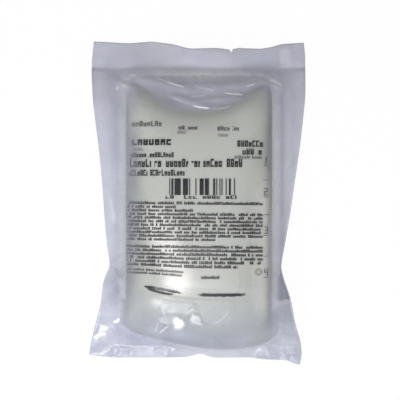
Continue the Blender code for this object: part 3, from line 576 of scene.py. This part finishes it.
def main_films(sheets, below):
    """Heights of the front film and of the rear one, over and under the bag."""
    x, y, weld, welded = pouch_grid()
    place = x + CENTRE_X, y + CENTRE_Y
    source_front = tree_of(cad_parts["overwrap_front_film"])
    source_rear = tree_of(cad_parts["overwrap_rear_film"])
    bag_top = cast([tree_of(thing) for thing in sheets], *place, False, BELOW_ALL)
    bag_low = cast([tree_of(thing) for thing in below], *place, True, ABOVE_ALL)
    first = cast([source_front], *place, False, FREE_FILM_HEIGHT) - POUCH_FILM
    first_rear = cast([source_rear], *place, True, FREE_FILM_HEIGHT) + POUCH_FILM
    table = np.full_like(x, POUCH_FILM)
    first = np.where(welded, weld, first)
    first_rear = np.where(welded, weld, first_rear)
    ceiling = np.maximum(widest(bag_low, np.min) - CLEARANCE - FILM_LIFT, table)
    rear = settled(x, y, first_rear, welded, table, ceiling, REAR_PUFF, REAR_STEPS)
    floor = np.maximum(widest(bag_top, np.max) + CLEARANCE, rear + 2 * CLEARANCE)
    sky = np.full_like(x, ABOVE_ALL)
    front = settled(x, y, first, welded, floor, sky, FRONT_PUFF, FRONT_STEPS)
    folds = sum(fold(x + BAG_ASIDE, y, *one) for one in FRONT_FOLDS)
    front = np.where(welded, front, np.maximum(front + folds, floor))
    return x, y, front, rear, welded, bag_top


def part_welds(x, y, front, rear, welded):
    """Points of both films. Where they are welded they stand apart by the gap, along the normal."""
    middle = np.stack([x, y, (front + rear) / 2], axis=-1)
    down, across = np.gradient(middle, axis=(0, 1))
    normal = np.cross(down, across)
    lift = welded[..., None] * FILM_LIFT * normal / np.linalg.norm(normal, axis=-1, keepdims=True)
    return np.stack([x, y, front], axis=-1) + lift, np.stack([x, y, rear], axis=-1) - lift


def film_object(name, points, side, haze, outer, inner):
    """A grid bent to these points, with its haze, thickened to a film with these two finishes."""
    rows, columns = points.shape[:2]
    mesh = bmesh.new()
    bmesh.ops.create_grid(mesh, x_segments=columns - 1, y_segments=rows - 1, size=0.5)
    hazes = mesh.verts.layers.float.new("haze")
    for vertex in mesh.verts:
        row, column = round((0.5 - vertex.co.y) * (rows - 1)), round((vertex.co.x + 0.5) * (columns - 1))
        vertex.co = Vector(points[row, column]) + Vector((CENTRE_X, CENTRE_Y, 0))
        vertex[hazes] = haze[row, column]
    bmesh.ops.recalc_face_normals(mesh, faces=mesh.faces)
    if side * sum(face.normal.z * face.calc_area() for face in mesh.faces) < 0:
        bmesh.ops.reverse_faces(mesh, faces=mesh.faces)
    film = add_object(name, mesh, outer, inner)
    wall = film.modifiers.new("Film", "SOLIDIFY")
    wall.thickness = POUCH_FILM
    wall.offset = 1
    wall.material_offset = 1
    return film


# Finishes

VINYL = (0.68, 0.69, 0.66)
MILKY = (0.66, 0.67, 0.79)
# Painted shade: the milky film is darker at the top, which turns away from the light
MILKY_TOP_SHADE = (0.54, 0.54, 0.65)
CLINGING = (0.58, 0.60, 0.57)
# Painted shade: the clinging film is darker and bluer over the bag's sides and lower end
CLINGING_SIDE_SHADE = (0.47, 0.52, 0.62)
CLINGING_BELOW = (0.58, 0.60, 0.58)
FOLD_SHADE = (0.26, 0.28, 0.38)
# Whiter creases: partly the haze of creased film, partly painted highlights
CREASE_HAZE_AND_GLINT = (0.95, 0.96, 0.97)
# Painted light: a painted highlight where the full bag shines, and painted light at its lower right edge
PAINTED_GLARE = (1.0, 0.99, 0.96)
PAINTED_EDGE_LIGHT = (1.0, 1.0, 0.97)
INK = (0.004, 0.004, 0.009)
# The liquid's painted light at its top and painted shade at its sides; its lower end is darker and bluer
LIQUID_TOP_LIGHT = (0.92, 0.93, 0.89)
LIQUID_END = (0.36, 0.42, 0.52)
LIQUID_SIDE_SHADE = (0.20, 0.23, 0.29)
CLEAREST = 0.012  # the least alpha of a film


def film_marks(finish, x, y, rough_x, rough_y):
    """How much a crease or bright facet whitens the film at a place, partly haze and partly painted
    highlight, and how much painted shade darkens it.
    """
    crease = sum(streak(x, y, *line) * strength for *line, strength in FILM_CREASES)
    crease = crease + sum(facet(rough_x, rough_y, *one) for one in GLINT_FACETS)
    shade = sum(streak(x, y, *line) * strength for *line, strength in FILM_SHADES)
    shade = shade + sum(facet(rough_x, rough_y, *one) for one in SHADE_FACETS)
    # Painted shade, darker towards the lower end
    shade = shade + finish.range(y, -70, -90, 0, 0.3)
    return crease.clamped(), shade.clamped()


def film_finish():
    """Milky film: clearer where it clings to the bag, whiter along its creases, partly as painted
    highlights, and crumpled; with painted shade.
    """
    finish = Finish("Milky pouch film", MILKY, 0.3, IOR=1.5, Specular_IOR_Level=0.8)
    x, y, _ = finish.place()
    y = y - CENTRE_Y / MM
    cloud = finish.noise(45.0, 3.0)
    drift = finish.noise(30.0, 2.0)
    wrinkles = finish.noise(90.0, 4.0, 0.65)
    crease, shade = film_marks(finish, x, y, x + (wrinkles - 0.5) * 5, y + (drift - 0.5) * 6)
    haze = finish.attribute("haze")
    loose = (haze * 0.8 + 0.2) * finish.range(y, 10, -60, 0.4, 1.0)
    moved = finish.vector(x + cloud * 9, y + drift * 12, 0.0)
    cells = {"voronoi_dimensions": "2D", "distance": "MANHATTAN"}
    large_flats = finish.node("ShaderNodeTexVoronoi", cells, Vector=moved, Scale=0.055)
    small_flats = finish.node("ShaderNodeTexVoronoi", cells, Vector=moved, Scale=0.16)
    crinkles = (1 - (wrinkles - 0.5).maths("ABSOLUTE") * 30).clamped() * loose * 0.06
    milky = (haze * (cloud * 0.5 + 0.75)).clamped()
    # Painted shade towards the bag's sides and lower end, where the clinging film is darker and bluer
    left = finish.range(x, -30, -46, 0, 1)
    right = finish.range(x, 36, 50, 0, 1) * finish.range(y, 5, 40, 0, 1)
    lower_end_shade = finish.range(y, -52, -80, 0, 1)
    clear = finish.mixed((left + right + lower_end_shade).clamped(), CLINGING, CLINGING_SIDE_SHADE)
    # Painted shade: the milky film is darker towards the top
    colour = finish.mixed(milky, clear, finish.mixed(finish.range(y, 35, 75, 0, 1), MILKY, MILKY_TOP_SHADE))
    # Painted shade: the shaded streaks and facets, and patches on the crumpled film's flats
    colour = finish.mixed((shade + large_flats * loose * 0.25).clamped(), colour, FOLD_SHADE)
    # Creases and crinkles whiter: partly the haze of creased film, partly painted highlights
    finish.feed("Base Color", finish.mixed((crease + crinkles).clamped(), colour, CREASE_HAZE_AND_GLINT))
    alpha = milky * 0.50 + CLEAREST + (crease + crinkles) * 0.6 + shade * 0.35
    finish.feed("Alpha", alpha.clamped())
    finish.feed("Roughness", finish.range(y, 84, 94, 0.3, 0.6))
    fine = finish.noise(420.0, 3.0, 0.6)
    height = (large_flats * 1.5 + small_flats * 0.2) * loose
    height = height + wrinkles * 0.5 + fine * 0.1 + crease * 0.4
    finish.bump(height, MM)
    return finish


def plain_film_finish():
    """The same film on its inner side and underneath, without the front's own creases."""
    finish = Finish("Plain pouch film", MILKY, 0.3, IOR=1.5)
    _, y, _ = finish.place()
    milky = (finish.attribute("haze") * (finish.noise(45.0, 2.0) * 0.5 + 0.75)).clamped()
    # Painted shade: darker towards the top
    top = finish.mixed(finish.range(y, 35, 75, 0, 1), MILKY, MILKY_TOP_SHADE)
    finish.feed("Base Color", finish.mixed(milky, CLINGING_BELOW, top))
    finish.feed("Alpha", milky * 0.5 + CLEAREST)
    finish.bump(finish.noise(90.0, 3.0, 0.65), MM, 0.5)
    return finish


def side_fade(finish, x, start, end, least):
    """1 over the bag, and this little at its two sides, whose edges the film blurs. Millimetres."""
    return finish.range((x - CENTRE_X / MM).maths("ABSOLUTE"), start, end, 1, least)


def with_painted_light(finish, x, y, colour):
    """The colour with painted light: a painted highlight where the full bag shines, left of its middle, and
    painted light at its lower right edge.
    """
    glare_mask = smooth(streak(x, y, (-32, 3), (-8, -68), 0.0, 15.0), 0, 0.8, 1.0)
    edge = finish.range(x, 36, 48, 0, 1) * finish.range(y, 30, 0, 0, 1) * finish.range(y, -86, -70, 0, 1)
    return finish.mixed(glare_mask, finish.mixed(edge, colour, PAINTED_EDGE_LIGHT), PAINTED_GLARE)


def sheet_finish(name, printed):
    """Clear soft vinyl. The front sheet carries the print, which is dark and opaque."""
    finish = Finish(name, VINYL, 0.2, 0.3, IOR=1.5)
    x, y, _ = finish.place()
    cloud = finish.noise(40.0, 2.0)
    # Painted light on the vinyl, where the full bag shines and at its lower right edge
    colour = with_painted_light(finish, x, y, finish.mixed(cloud, (0.65, 0.67, 0.65), (0.70, 0.71, 0.67)))
    alpha = side_fade(finish, x, 50, 55, 0.4) * 0.3
    if printed:
        ink = label(finish)
        colour = finish.mixed(ink, colour, INK)
        alpha = (ink * 0.7 + alpha).clamped()
    finish.feed("Base Color", colour)
    finish.feed("Alpha", alpha)
    finish.feed("Roughness", cloud * 0.12 + 0.22)
    return finish


def liquid_finish():
    """Liquid in its bag, which bends the light: painted shade towards its sides, painted light at its top,
    and darker and bluer towards its lower end.
    """
    finish = Finish("Saline", VINYL, 0.28, 0.92, Specular_IOR_Level=0.8)
    x, y, _ = finish.place()
    # Painted shade towards the sides
    left = finish.range(x, -32, -45, 0, 1)
    left = left * finish.range(y, 58, 42, 0.3, 1) * finish.range(y, -76, -54, 0.3, 1)
    right = finish.range(x, 44, 53.5, 0, 1) * finish.range(y, 40, 5, 0.8, 0)
    side = left + right
    cloud = finish.noise(22.0, 2.0)
    colour = finish.mixed(cloud, (0.68, 0.70, 0.66), (0.70, 0.70, 0.68))
    colour = finish.mixed(finish.range(y, -50, -90, 0, 1), colour, LIQUID_END)
    # Painted light at the top
    colour = finish.mixed(finish.range(y, 36, 64, 0, 1), colour, LIQUID_TOP_LIGHT)
    # Painted shade at the sides, over the painted highlight and painted edge light
    finish.feed("Base Color", finish.mixed(side * side, with_painted_light(finish, x, y, colour), LIQUID_SIDE_SHADE))
    finish.feed("Alpha", side_fade(finish, x, 47, 53, 0.4) * 0.92)
    return finish


def solid_finish(name, colour, worn, roughness, alpha=1.0):
    """Moulded plastic or rubber: cloudy between two close colours, with a faint grain."""
    finish = Finish(name, colour, roughness, alpha)
    cloud = finish.noise(160.0, 3.0)
    finish.feed("Base Color", finish.mixed(cloud, colour, worn))
    finish.feed("Roughness", cloud * 0.2 + (roughness - 0.1))
    finish.bump(finish.noise(2200.0, 2.0), 0.1 * MM, 0.3)
    return finish


# Fine creases of the front film, whiter for haze and painted highlight. Millimetres: start, end, how far it
# bows, width, and strength
FILM_CREASES = (
    ((-30.1, 88.6), (-17.5, 83.7), 0.0, 1.0, 0.3),
    ((-21.0, 85.1), (-8.4, 81.2), 0.3, 0.9, 0.8),
    ((-3.9, 68.5), (9.8, 66.3), 0.5, 0.8, 1.0),
    ((9.8, 66.2), (23.1, 67.9), 0.9, 0.9, 0.45),
    ((-18.2, 74.6), (-3.5, 68.5), 0.5, 1.2, 0.25),
    ((18.2, 77.6), (32.9, 75.7), 0.3, 0.8, 0.9),
    ((33.6, 81.6), (40.6, 83.7), 0.2, 0.7, 0.6),
    ((49.7, 86.5), (60.2, 81.6), -1.0, 1.6, 0.7),
    ((-2.1, 82.3), (12.6, 78.4), 0.0, 1.0, 0.25),
    ((-5.6, 74.6), (6.3, 75.2), 0.0, 1.2, 0.3),
    ((-48.3, 89.3), (-42.7, 89.3), -0.5, 1.0, 0.3),
    ((-56.7, 79.5), (-54.6, 82.3), 0.0, 1.6, 0.4),
    ((-58.8, -83.7), (-53.9, -80.2), 0.0, 1.4, 0.5),
    ((-29.4, -89.3), (-26.5, -81.0), 0.3, 1.0, 0.4),
    ((-26.5, -90.5), (-19.0, -84.0), 0.0, 0.9, 0.6),
    ((-8.0, -77.0), (-2.0, -72.0), 0.0, 1.2, 0.3),
    ((24.5, -70.4), (2.0, -86.5), -3.5, 1.4, 0.2),
    ((-60.9, 5.2), (-57.5, -14.4), 0.0, 2.6, 0.3),
    ((-56.0, 88.0), (-24.0, 66.0), 3.0, 13.0, 0.22),
    ((-40.0, -105.5), (68.0, -103.0), 0.0, 7.0, 0.15),
)

# Its small flat facets, with painted highlights where they catch the light: strength, how soft the edge is,
# and corners, clockwise
GLINT_FACETS = (
    (0.85, 3.0, (-16.8, -77.3), (-11.2, -77.6), (-7.2, -81.6), (-8.6, -88.4), (-15.4, -89.1),
     (-18.7, -84.4)),
    (0.42, 2.0, (-27.8, -77.2), (-17.5, -75.5), (-8.6, -76.9), (-14.2, -83.5), (-20.3, -84.9),
     (-26.4, -82.8)),
    (0.65, 1.8, (-4.4, -74.5), (2.2, -76.0), (6.4, -85.1), (-4.7, -83.5)),
    (0.5, 3.0, (-25.5, -66.6), (0.3, -65.9), (1.7, -75.3), (-11.9, -78.4), (-26.9, -77.2)),
    (0.28, 2.0, (2.1, -66.4), (24.5, -66.4), (28.5, -73.2), (23.6, -82.1), (10.5, -84.2), (1.6, -78.8)),
    (0.45, 2.0, (-69.6, -82.7), (-62.0, -84.8), (-62.0, -90.3), (-70.3, -91.0)),
    (0.35, 1.5, (-72.6, -90.2), (-62.5, -90.2), (-63.2, -94.0), (-73.3, -94.7)),
    (0.7, 0.9, (-59.3, -83.0), (-55.0, -79.3), (-53.4, -80.9), (-54.9, -84.1)),
    (0.2, 3.0, (55.0, 110.0), (67.8, 111.0), (68.4, 95.0), (57.4, 93.5)),
)

# Facets with painted shade where they turn away from it, in the same terms
SHADE_FACETS = (
    (0.75, 1.2, (58.5, -46.6), (66.8, -67.4), (56.0, -68.8), (54.5, -54.3)),
    (0.3, 2.5, (55.5, -67.8), (66.3, -67.1), (70.0, -84.0), (54.8, -85.4)),
    (0.3, 3.0, (-64.0, -46.0), (-52.5, -48.0), (-52.5, -72.0), (-64.0, -74.0)),
)

# Painted shade where the film turns away from the light, in the same terms as the creases
FILM_SHADES = (
    ((59.0, 100.0), (59.5, -66.0), 0.0, 4.5, 0.6),
    ((66.0, 98.0), (68.0, 10.0), 0.0, 9.0, 0.25),
    ((-66.5, 98.0), (-59.5, 94.5), 0.0, 5.0, 0.2),
    ((-34.0, 87.0), (62.0, 89.0), 6.0, 9.0, 0.42),
    ((-24.0, 101.0), (62.0, 101.0), 0.0, 9.0, 0.25),
    ((45.0, 92.0), (66.0, 90.5), 0.0, 4.5, 0.3),
    ((-60.0, 108.0), (-60.0, 14.0), 0.0, 9.0, 0.25),
    ((-55.5, 108.0), (-55.5, -98.0), 0.0, 6.0, 0.42),
    ((-37.0, -58.0), (-37.0, -90.0), 0.0, 8.0, 0.35),
    ((-43.0, 54.0), (-43.5, 0.0), 0.0, 6.0, 0.5),
    ((-39.0, 14.0), (-38.5, -52.0), 0.0, 8.0, 0.35),
    ((-66.0, -90.0), (40.0, -98.0), 3.0, 9.0, 0.37),
)


# The print: plain marks in the places where a bag has its words, drawn by the shader

# Rows of marks: left, right and top, how many rows, their pitch and height, a letter's width, a seed,
# how dark they are, and where the words end
WORDS = (
    (-45.5, -24.5, 57.2, 1, 4, 3.8, 2.7, 31, 0.85, ()),
    (-13.0, 0.6, 54.0, 1, 4, 2.8, 2.2, 32, 0.9, (-7.3,)),
    (14.0, 29.2, 53.5, 1, 4, 3.0, 2.3, 33, 0.9, (23.5,)),
    (-14.0, -7.0, 50.6, 1, 4, 2.3, 1.7, 4, 0.7),
    (14.7, 21.7, 48.6, 1, 4, 2.3, 1.7, 5, 0.7),
    (-45.5, -17.5, 46.0, 1, 8, 5.6, 4.0, 36, 1.0, ()),
    (-46.2, -37.0, 38.4, 1, 4, 2.0, 1.3, 7, 0.6),
    (-46.2, -16.1, 35.4, 1, 5, 3.5, 1.9, 38, 1.0, (-34.3,)),
    (-46.9, 31.5, 30.9, 1, 8, 5.7, 2.8, 39, 1.0, (-30.5, -23.1, -4.9, 3.2, 18.9)),
    (-47.7, -8.5, 23.4, 1, 6, 4.2, 2.1, 40, 1.0, (-33.3,)),
    (27.7, 46.2, 43.6, 1, 6, 4.3, 2.6, 41, 1.0, ()),
    (31.2, 45.0, 38.0, 1, 6, 4.2, 2.8, 42, 1.0, (41.0,)),
    (25.9, 45.8, 33.2, 1, 4, 2.2, 1.2, 13, 0.8),
    (-22.0, 27.3, 5.7, 1, 4, 2.2, 3.2, 14),
    (-49.3, -9.3, -44.6, 2, 2.2, 1.6, 1.0, 22, 0.95),
)
STRAIGHT_WORDS = (
    (1.4, 15.4, -49.7, 1, 2.6, 2.3, 1.3, 23),
    (41.3, 44.4, -46.3, 1, 2.5, 2.0, 1.5, 24, 0.4),
)

# The block of bars: left, right, top, bottom, and the narrowest bar's width
BARS = (-19.1, 27.3, 17.3, 5.9, 0.72)

# The ring at the lower right: X, Y, and the squares of its inner and outer radius
RING = (42.7, -47.2, 2.9, 5.4)

# The block of small rows, in the words' terms, and where its short ones end. The twelfth is empty.
SMALL_ROWS = (-49.3, 45.8, 1.6, 18, 2.5, 1.9, 1.3, 18)
SHORT_ROWS = ((1, -14.7), (2, -2.8), (10, 12.6), (11, -60.0), (17, 28.0))

# Faint upright lines pressed through from behind, drawn as painted shade in the ink: start, end, bow, width
# and strength
PRESSED_LINES = (
    ((29.2, -43.0), (29.7, -62.0), 0.0, 0.5, 0.3),
    ((-29.6, -50.0), (-28.9, -57.0), 0.0, 0.6, 0.2),
)

# Lines of print that the crease pinches to a dark streak: start, end, bow and width
PINCHED_LINES = (
    ((-39.0, -57.0), (-9.0, -62.4), -0.6, 1.5),
    ((-36.0, -58.0), (-15.0, -63.0), 0.6, 1.3),
    ((-2.0, -62.9), (36.0, -62.7), 0.4, 1.8),
)

# The scale's figures, each as straight strokes: left, right, low and high
NO_FIGURE = ()
ONE = ((1.0, 1.7, 0.0, 5.0),)
TWO = (
    (0.0, 2.7, 0.0, 0.6), (0.0, 0.6, 0.0, 2.7), (0.0, 2.7, 2.2, 2.8), (2.1, 2.7, 2.4, 5.0),
    (0.0, 2.7, 4.4, 5.0),
)
THREE = ((0.0, 2.7, 0.0, 0.6), (2.1, 2.7, 0.0, 5.0), (0.6, 2.7, 2.2, 2.8), (0.0, 2.7, 4.4, 5.0))
FOUR = ((0.0, 0.6, 2.2, 5.0), (0.0, 2.7, 2.2, 2.8), (2.1, 2.7, 0.0, 5.0))

# The scale: where its figures start, how high they stand over their lines, and each line's Y
SCALE_X = 46.6
FIGURE_LIFT = 0.9
SCALE = (
    (ONE, 26.5),
    (NO_FIGURE, 16.5),
    (TWO, 4.8),
    (NO_FIGURE, -7.6),
    (THREE, -21.9),
    (NO_FIGURE, -36.3),
    (FOUR, -51.0),
)


def words(x, y, left, right, top, rows, pitch, height, cell, seed, dark=1.0, gaps=None):
    """Rows of word-like marks between left and right, the first one's top at top. Millimetres.

    The words end at the gaps, or anywhere if none are given.
    """
    bold = 0.2 if cell < 1.4 else 0.04
    finish = x.finish
    down = (top - y) / pitch
    row = down.floor()
    drop = (down - row) * (pitch / height)
    across = (x - left) / cell
    letter = across.floor()
    u = across - letter
    spot = finish.vector(letter, row, float(seed))
    chance = finish.node("ShaderNodeTexWhiteNoise", {"noise_dimensions": "3D"}, spot)
    dice = finish.node("ShaderNodeTexWhiteNoise", {"noise_dimensions": "3D"}, spot, output="Color")
    red, green, blue = (finish.node("ShaderNodeSeparateColor", {}, dice, output=part) for part in (0, 1, 2))
    low = (red < 0.6) * 0.27
    stems = (u < 0.36 + bold) + (u > 0.58) * (green > 0.3 - bold)
    strokes = (drop < low + 0.2 + bold) * (blue > 0.3) + drop.between(0.5 - bold, 0.66) * (green > 0.35)
    strokes = strokes + (drop > 0.82 - bold) * (blue < 0.8)
    inside = x.between(left, right) * row.between(-0.5, rows - 0.5)
    inside = inside * u.between(0.07, 0.9) * drop.between(low, 1.0)
    if gaps is None:
        inside = inside * (chance > 0.12)
    else:
        for gap in gaps:
            inside = inside * ((x - gap).maths("ABSOLUTE") > 0.4 * cell)
    return (stems + strokes).clamped() * inside * dark


def bars(x, y, left, right, top, bottom, module):
    """A block of upright bars of uneven widths, which stand for nothing."""
    finish = x.finish
    step = ((x - left) / module).floor()
    chance = finish.node("ShaderNodeTexWhiteNoise", {"noise_dimensions": "1D"}, W=step)
    return (chance > 0.42) * x.between(left, right) * y.between(bottom, top)


def figures(x, y):
    """The scale on the bag's edge: figures of straight strokes, and a line for each and between them."""
    ink = 0
    for strokes, line in SCALE:
        ink = ink + x.between(SCALE_X - 0.4, SCALE_X + 3.4) * y.between(line - 0.35, line)
        foot = line + FIGURE_LIFT
        for left, right, low, high in strokes:
            ink = ink + x.between(SCALE_X + left, SCALE_X + right) * y.between(foot + low, foot + high)
    return ink


def facet(x, y, strength, soft, *corners):
    """The strength inside a polygon that bulges outwards everywhere, and 0 outside. Millimetres."""
    inside = strength
    for start, end in zip(corners, corners[1:] + corners[:1]):
        way = (Vector(end) - Vector(start)).normalized()
        inside = (((x - start[0]) * way.y - (y - start[1]) * way.x) / soft).clamped() * inside
    return inside


def streak(x, y, start, end, bow, width):
    """1 on a line from start to end that bows to its right, and 0 at this width from it. Millimetres."""
    along = Vector(end) - Vector(start)
    length = along.length
    way = along / length
    share = ((x - start[0]) * way.x + (y - start[1]) * way.y) / length
    rise = share * (1 - share)
    off = (x - start[0]) * way.y - (y - start[1]) * way.x - rise * (4 * bow)
    return (1 - off.maths("ABSOLUTE") / width).clamped() * (rise * 6).clamped()


def smooth(value, low, high, to_high):
    return value.finish.node(
        "ShaderNodeMapRange", {"interpolation_type": "SMOOTHSTEP"}, value, low, high, 0.0, to_high
    )


def label(finish):
    """Where the front sheet is printed, from 0 to 1."""
    x, y, _ = finish.place()
    y = y - CENTRE_Y / MM
    sag = smooth(x, -40, 0, 1.0) * smooth(y, -28, -62, 2.6)
    tilt = (x + 49) * smooth(y, 8, -2, 0.010)
    flat_y = y
    y = y + sag + tilt
    ink = bars(x, y, *BARS) + figures(x, flat_y) * 1.2
    ring_x, ring_y, inner, outer = RING
    ring = (x - ring_x) * (x - ring_x) + (flat_y - ring_y) * (flat_y - ring_y)
    ink = ink + ring.between(inner, outer) * 0.8
    for *line, strength in PRESSED_LINES:
        ink = ink + streak(x, flat_y, *line) * strength
    _, _, top, _, pitch, *_ = SMALL_ROWS
    row = ((top - y) / pitch).floor()
    block = words(x, y, *SMALL_ROWS)
    for short, right in SHORT_ROWS:
        block = block * (1 - row.between(short - 0.5, short + 0.5) * (x > right))
    ink = ink + block
    for marks in WORDS:
        ink = ink + words(x, y, *marks)
    for marks in STRAIGHT_WORDS:
        ink = ink + words(x, flat_y, *marks)
    scratches = finish.noise(1.0, 2.0, 0.7, finish.vector(x * 1.3, flat_y * 0.35, 0.0))
    for line in PINCHED_LINES:
        ink = ink + (streak(x, flat_y, *line) + scratches * 1.6 > 1.2)
    return ink.clamped()


WHITE_SHARE = 0.97  # how much of the table the camera sees as plain white
SKY_STRENGTH = 0.42  # what lights the bag, where the camera sees a white of 1


def floor_and_light():
    """A white table, which keeps the bag's shadow, and soft light that comes mostly from the ports' end."""
    mesh = bmesh.new()
    bmesh.ops.create_grid(mesh, x_segments=1, y_segments=1, size=3.0)
    finish = Finish("White table", (0.85, 0.85, 0.86), 0.6)
    show_white(finish, WHITE_SHARE)
    floor = add_object("table", mesh, finish)

    world = bpy.data.worlds.new("Studio")
    world.use_nodes = True
    bpy.context.scene.world = world
    background = world.node_tree.nodes["Background"]
    background.inputs["Color"].default_value = (1.0, 1.0, 1.0, 1)
    path = world.node_tree.nodes.new("ShaderNodeLightPath")
    shown = world.node_tree.nodes.new("ShaderNodeMapRange")
    shown.inputs["To Min"].default_value = SKY_STRENGTH
    world.node_tree.links.new(path.outputs["Is Camera Ray"], shown.inputs["Value"])
    world.node_tree.links.new(shown.outputs["Result"], background.inputs["Strength"])
    add_lamp("Key", (-0.28, -0.62, 0.60), 0.3, 0.3, 4.6)
    add_lamp("Glare", (-0.13, -0.25, 1.1), 0.2, 0.35, 3.9)


def show_white(finish, share):
    """This share of what the camera, a reflection or a see-through part sees is plain white."""
    seen = finish.node("ShaderNodeLightPath", {}, output="Is Camera Ray")
    for ray in ("Is Glossy Ray", "Is Transmission Ray"):
        seen = seen.maths("MAXIMUM", finish.node("ShaderNodeLightPath", {}, output=ray))
    white = finish.node("ShaderNodeEmission", {}, (1.0, 1.0, 1.0))
    lit_table = Value(finish, finish.shader.outputs[0])
    mix = finish.node("ShaderNodeMixShader", {}, seen * share, lit_table, white)
    finish.tree.links.new(mix.socket, finish.tree.nodes["Material Output"].inputs["Surface"])


def add_lamp(name, place, width, height, power):
    light = bpy.data.lights.new(name, "AREA")
    light.shape = "RECTANGLE"
    light.size, light.size_y = width, height
    light.energy = power
    lamp = bpy.data.objects.new(name, light)
    lamp.location = place
    lamp.rotation_euler = (-Vector(place)).to_track_quat("-Z", "Y").to_euler()
    bpy.context.scene.collection.objects.link(lamp)


def add_camera():
    """Straight above. The pouch's middle stands a little left of the picture's."""
    camera = bpy.data.cameras.new("Camera")
    camera.sensor_width = 36.0
    distance, seen_width = 2.0, 0.280
    camera.lens = camera.sensor_width * distance / seen_width
    made = bpy.data.objects.new("Camera", camera)
    aside, focus_height = 2.1 * MM, 12 * MM
    made.location = (aside, aside, distance + focus_height)
    bpy.context.scene.collection.objects.link(made)
    bpy.context.scene.camera = made


# Bag, liquid and pouch

film = film_finish()
plain_film = plain_film_finish()
vinyl = sheet_finish("Clear soft vinyl", False)
printed_vinyl = sheet_finish("Printed soft vinyl", True)
saline = liquid_finish()
port_vinyl = solid_finish("Port vinyl", (0.62, 0.66, 0.68), (0.70, 0.73, 0.74), 0.3, 0.55)
protector = solid_finish("Blue protector", (0.05, 0.20, 0.55), (0.07, 0.24, 0.60), 0.45)
housing = solid_finish("White housing", (0.78, 0.79, 0.78), (0.84, 0.84, 0.82), 0.4)
rubber = solid_finish("Septum rubber", (0.50, 0.38, 0.24), (0.56, 0.44, 0.29), 0.7)

front_sheet = smooth_copy("bag_front", "bag_front_sheet", printed_vinyl, vinyl)
rear_sheet = smooth_copy("bag_rear", "bag_rear_sheet", vinyl)
liquid = smooth_copy("liquid", "saline_solution", saline)
seat(front_sheet, "bag_film", "bag_front_sheet")
seat(rear_sheet, "bag_film", "bag_rear_sheet")
seat(liquid, "saline", "saline_solution")

PORT_PIECES = (
    ("administration_port_tube", "port_vinyl", port_vinyl),
    ("administration_port_membrane", "port_vinyl", port_vinyl),
    ("administration_port_protector", "protector", protector),
    ("medication_port_tube", "port_vinyl", port_vinyl),
    ("medication_port_housing", "housing", housing),
    ("medication_port_septum", "septum_rubber", rubber),
)
for node, slot, finish in PORT_PIECES:
    seat(turned_copy(node.replace("_port", ""), node, finish), slot, node)

below = [rear_sheet] + [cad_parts[node] for node, _, _ in PORT_PIECES]
x, y, front, rear, welded, bag_top = main_films([front_sheet], below)
haze = film_haze(x, y, front, bag_top, welded)
front_points, rear_points = part_welds(x, y, front, rear, welded)
front_film = film_object("pouch_front", front_points, 1, haze, film, plain_film)
rear_haze = rear_film_haze(bag_top, welded)
rear_film = film_object("pouch_rear", rear_points, -1, rear_haze, plain_film, plain_film)
cut_tear_notch(front_film)
cut_tear_notch(rear_film)
seat(front_film, "pouch_film", "overwrap_front_film")
seat(rear_film, "pouch_film", "overwrap_rear_film")

floor_and_light()
add_camera()
bpy.context.scene.view_settings.view_transform = "Standard"
